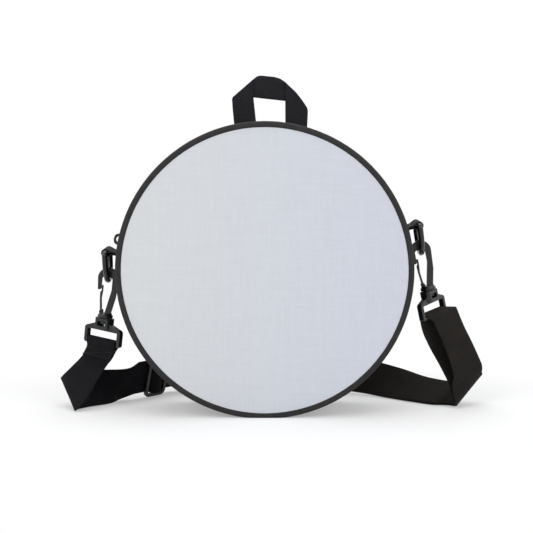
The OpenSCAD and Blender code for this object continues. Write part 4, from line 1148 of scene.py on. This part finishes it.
def strap_way():
    """Rows from the left frame to the glide, and from the glide to the right frame."""
    left_z = STRAP_END_Z - END_GAP
    left_rows = [row_of(left_spot(0, z), LEFT_BAR, 0) for z in (left_z, left_z - END_RUN)]
    left_rows += [station(s, left_rows[0][2]) for s in LEFT_DROP_SHARES]
    left_rows += [station(s) for s in LEFT_WAY_SHARES]
    left_rows += [row_of(GLIDE_LINE - GLIDE_ALONG * GLIDE_REACH, GLIDE_HALF, LAYER_GAP)]
    right_end = [row_of(right_hook(z), -RIGHT_BAR, 2 * WRAP_MID_R) for z in (RIGHT_Z - END_RUN, RIGHT_Z)]
    right_rows = [row_of(GLIDE_LINE + GLIDE_ALONG * GLIDE_REACH, GLIDE_HALF, LAYER_GAP)]
    right_rows += [station(s) for s in BACK_WAY_SHARES]
    right_rows += [station(s, right_end[1][2]) for s in RIGHT_DROP_SHARES] + right_end
    way = smooth_rows(left_rows + right_rows)
    split = (len(left_rows) - 1) * STEPS
    return way[:split + 1], way[split + STEPS:]


def led(rows, way, share=1.0):
    """The strap's rows at the right, led through the places of a way of (height, X, turn, rise)."""
    heights, rise = [w[0] for w in way], [(w[0], w[3]) for w in way]
    x_at = np.polyfit(heights, [w[1] for w in way], 3)
    turn_at = np.polyfit(heights, [w[2] for w in way], 2)
    made = []
    for middle, half in rows:
        z = middle[2]
        u = min(1.0, max(0.0, (z - WAY_START) / (WAY_FULL - WAY_START))) if middle[0] > BAG_R else 0.0
        weight = u * u * (3 - 2 * u) * share
        aim = -math.hypot(half[0], half[1]) * turned_x(np.polyval(turn_at, z))
        aim[2] = half[2] - along_line(rise, z)
        x = middle[0] + (np.polyval(x_at, z) - middle[0]) * weight
        made.append((np.array([x, middle[1], z]), half + (aim - half) * weight))
    return made


def cut(rows, length):
    """Index of the row nearest to a length along the rows."""
    return int(np.argmin(np.abs(np.asarray(run_lengths([r[0] for r in rows])) - length)))


def left_wrap():
    """Rows up the back of the left frame's bar, round it, and down in front to the stitched edge."""
    flat = [(END_HALF_GAP, STRAP_END_Z - 1)] + END_SIDE + arc(0, STRAP_BAR_Z, WRAP_MID_R, -15, 195, 15)
    flat += [(-y, z) for y, z in reversed(END_SIDE)] + [(-END_HALF_GAP, STRAP_END_Z - 1.2)]
    return [(left_spot(*p), LEFT_BAR) for p in smooth_path(flat, 4)]


def right_wrap(half):
    """Rows over the right frame's bar, from the inner layer to the outer one, which has slid out."""
    through = unit(np.cross(RIGHT_BAR, (0, 0, 1))) * WRAP_MID_R
    bar = right_hook(STRAP_BAR_Z)
    up = unit(bar - right_hook(RIGHT_Z))
    rows = [(bar - through - up * z, half) for z in (4.0, 2.0)]
    for a in np.linspace(180, 0, 17):
        c, s, _ = turned_x(a)
        share = max(0.0, 1 - a / OUTER_BAR_ANGLE) ** 1.5
        rows += led([(bar + through * c + up * WRAP_MID_R * s, half)], OUTER_WAY, share)
    return rows + led([(bar + through - up * z, half) for z in (2.0, 4.0)], OUTER_WAY)


def glide_spot(x, y=0.0):
    """A point at the glide: x along the strap, y behind the glide's plane."""
    return GLIDE_MID + GLIDE_ALONG * x + GLIDE_BACK * y


def glide_tail_path():
    """Section of the strap's end: in along the strap, round the glide's middle bar and back over itself."""
    near = STRAP_T + GLIDE_ROOM + GLIDE_SEAT
    far = near + STRAP_T
    end = GLIDE_REACH - 0.4
    points = [(end, near), (19, near), (11, near - 0.05), (6.6, near - 1.7)]
    points += arc(0, 0, GLIDE_BAR_R + GLIDE_ROOM + STRAP_T / 2, 15, -230, 13)
    points += [(1.6, far - 1.8), (6, far - 0.3), (11, far), (19, far), (end, far)]
    return smooth_path(points, 4)


def weave_rows():
    """The strap behind the buckle's rims and over its middle bar."""
    turn = STRAP_T * 0.85
    low_x = GLIDE_HALF_L - GLIDE_RIM_W - STRAP_T * 0.55
    loop_r = GLIDE_BAR_R + GLIDE_ROOM + STRAP_T
    high_x = loop_r * 0.78
    out = GLIDE_SEAT + loop_r + GLIDE_ROOM + STRAP_T / 2
    middle_x = (low_x + high_x) / 2
    shares = [(low_x + turn, 0), (low_x, 0.04), (middle_x, 0.5), (high_x, 0.96), (high_x - turn, 1)]
    flat = [(-x, s) for x, s in shares] + [(0, 1)] + [(x, s) for x, s in reversed(shares)]
    return [(glide_spot(*p), GLIDE_HALF) for p in smooth_path([(x, -s * out) for x, s in flat], 4)]


def strap_piece(name, rows, first, last, material, run, body, bend, *nodes):
    """A length of strap, from one of its rows to another; it follows no body, body is not used and nothing
    uses bend."""
    before = rows[first - 1][0] if first else None
    piece = ribbon(name, rows[first:last + 1], RIBBON_T, material, run, ends=(before, rows[last + 1][0]))
    start, end = [tuple(np.asarray(p) * MM) for p in bend]
    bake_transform(piece)
    if nodes:
        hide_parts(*nodes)


def build_strap():
    before, after = strap_way()

    # From the free edge in front of the left frame to the glide, to the right frame and back
    left = left_wrap()[::-1] + layer(before, -1)[STEPS:]
    weave = weave_rows()
    inner, outer = led(layer(after, -1), INNER_WAY), led(layer(after, 1), OUTER_WAY)
    whole = left + weave + inner + right_wrap(inner[-1][1]) + outer[::-1]
    lengths = run_lengths([r[0] for r in left])
    back_cut = cut(outer, GLIDE_PIECE_RUN)
    cuts = [0, cut(left, lengths[-1] - GLIDE_PIECE_RUN), len(left) + len(weave) // 2,
            len(left + weave) + cut(inner, GLIDE_PIECE_RUN), len(whole) - 1 - back_cut]
    left_bend = [glide_spot(x) for x in GLIDE_BEND_LEFT]
    right_bend = [glide_spot(x) for x in GLIDE_BEND_RIGHT]
    # From the glide to the right hook and back, the strap wears the painted light copy of its webbing:
    # lighter and warmer than the rest
    parts = (("strap_left", "strap", 0, "left_swivel", (LEFT_BEND_START, left_hook(STRAP_END_Z - 3)),
              "strap_main", "left_strap_end"),
             ("strap_into_glide", "strap", lengths[cuts[1]], "glide", left_bend),
             ("strap_out_of_glide", "strap_warm", 0, "glide", right_bend),
             ("strap_right", "strap_warm", RIGHT_RUN, "right_swivel",
              (RIGHT_BEND_START, right_hook(RIGHT_Z - 4)), "strap_return", "right_strap_loop"))
    for (name, *rest), first, last in zip(parts, cuts, cuts[1:]):
        strap_piece(name, whole, first, last, *rest)
    strap_piece("strap_return_end", outer, 0, back_cut, "strap_warm", RETURN_RUN, "glide", right_bend)

    # The strap's end, round the glide's middle bar and sewn back on itself
    tail = [(glide_spot(x, y - GLIDE_SEAT), GLIDE_HALF) for x, y in glide_tail_path()]
    fit(ribbon("glide_tail", tail, RIBBON_T, "strap"), "strap_webbing", "glide", "glide_strap_end")

    # Sewn box on the left end, on the outside of the webbing
    surface = -END_HALF_GAP - STRAP_T / 2 + 0.05
    lines = crossed_box(lambda x, z: left_spot(surface, z) + LEFT_DIR * x, END_SEAM_X, END_SEAM_Z)
    sew_lines("left_end_stitches", lines, left_spot(0, 0) - left_spot(1, 0), "left_swivel")


add_camera()
add_stage()
build_faces()
build_bindings()
build_gusset()
build_zip()
build_handle()
build_tab("left_tab", LEFT_TAB_PLACE, -1)
build_tab("right_tab", RIGHT_TAB_PLACE, 1)
build_fittings()
build_strap()

bpy.context.view_layer.update()
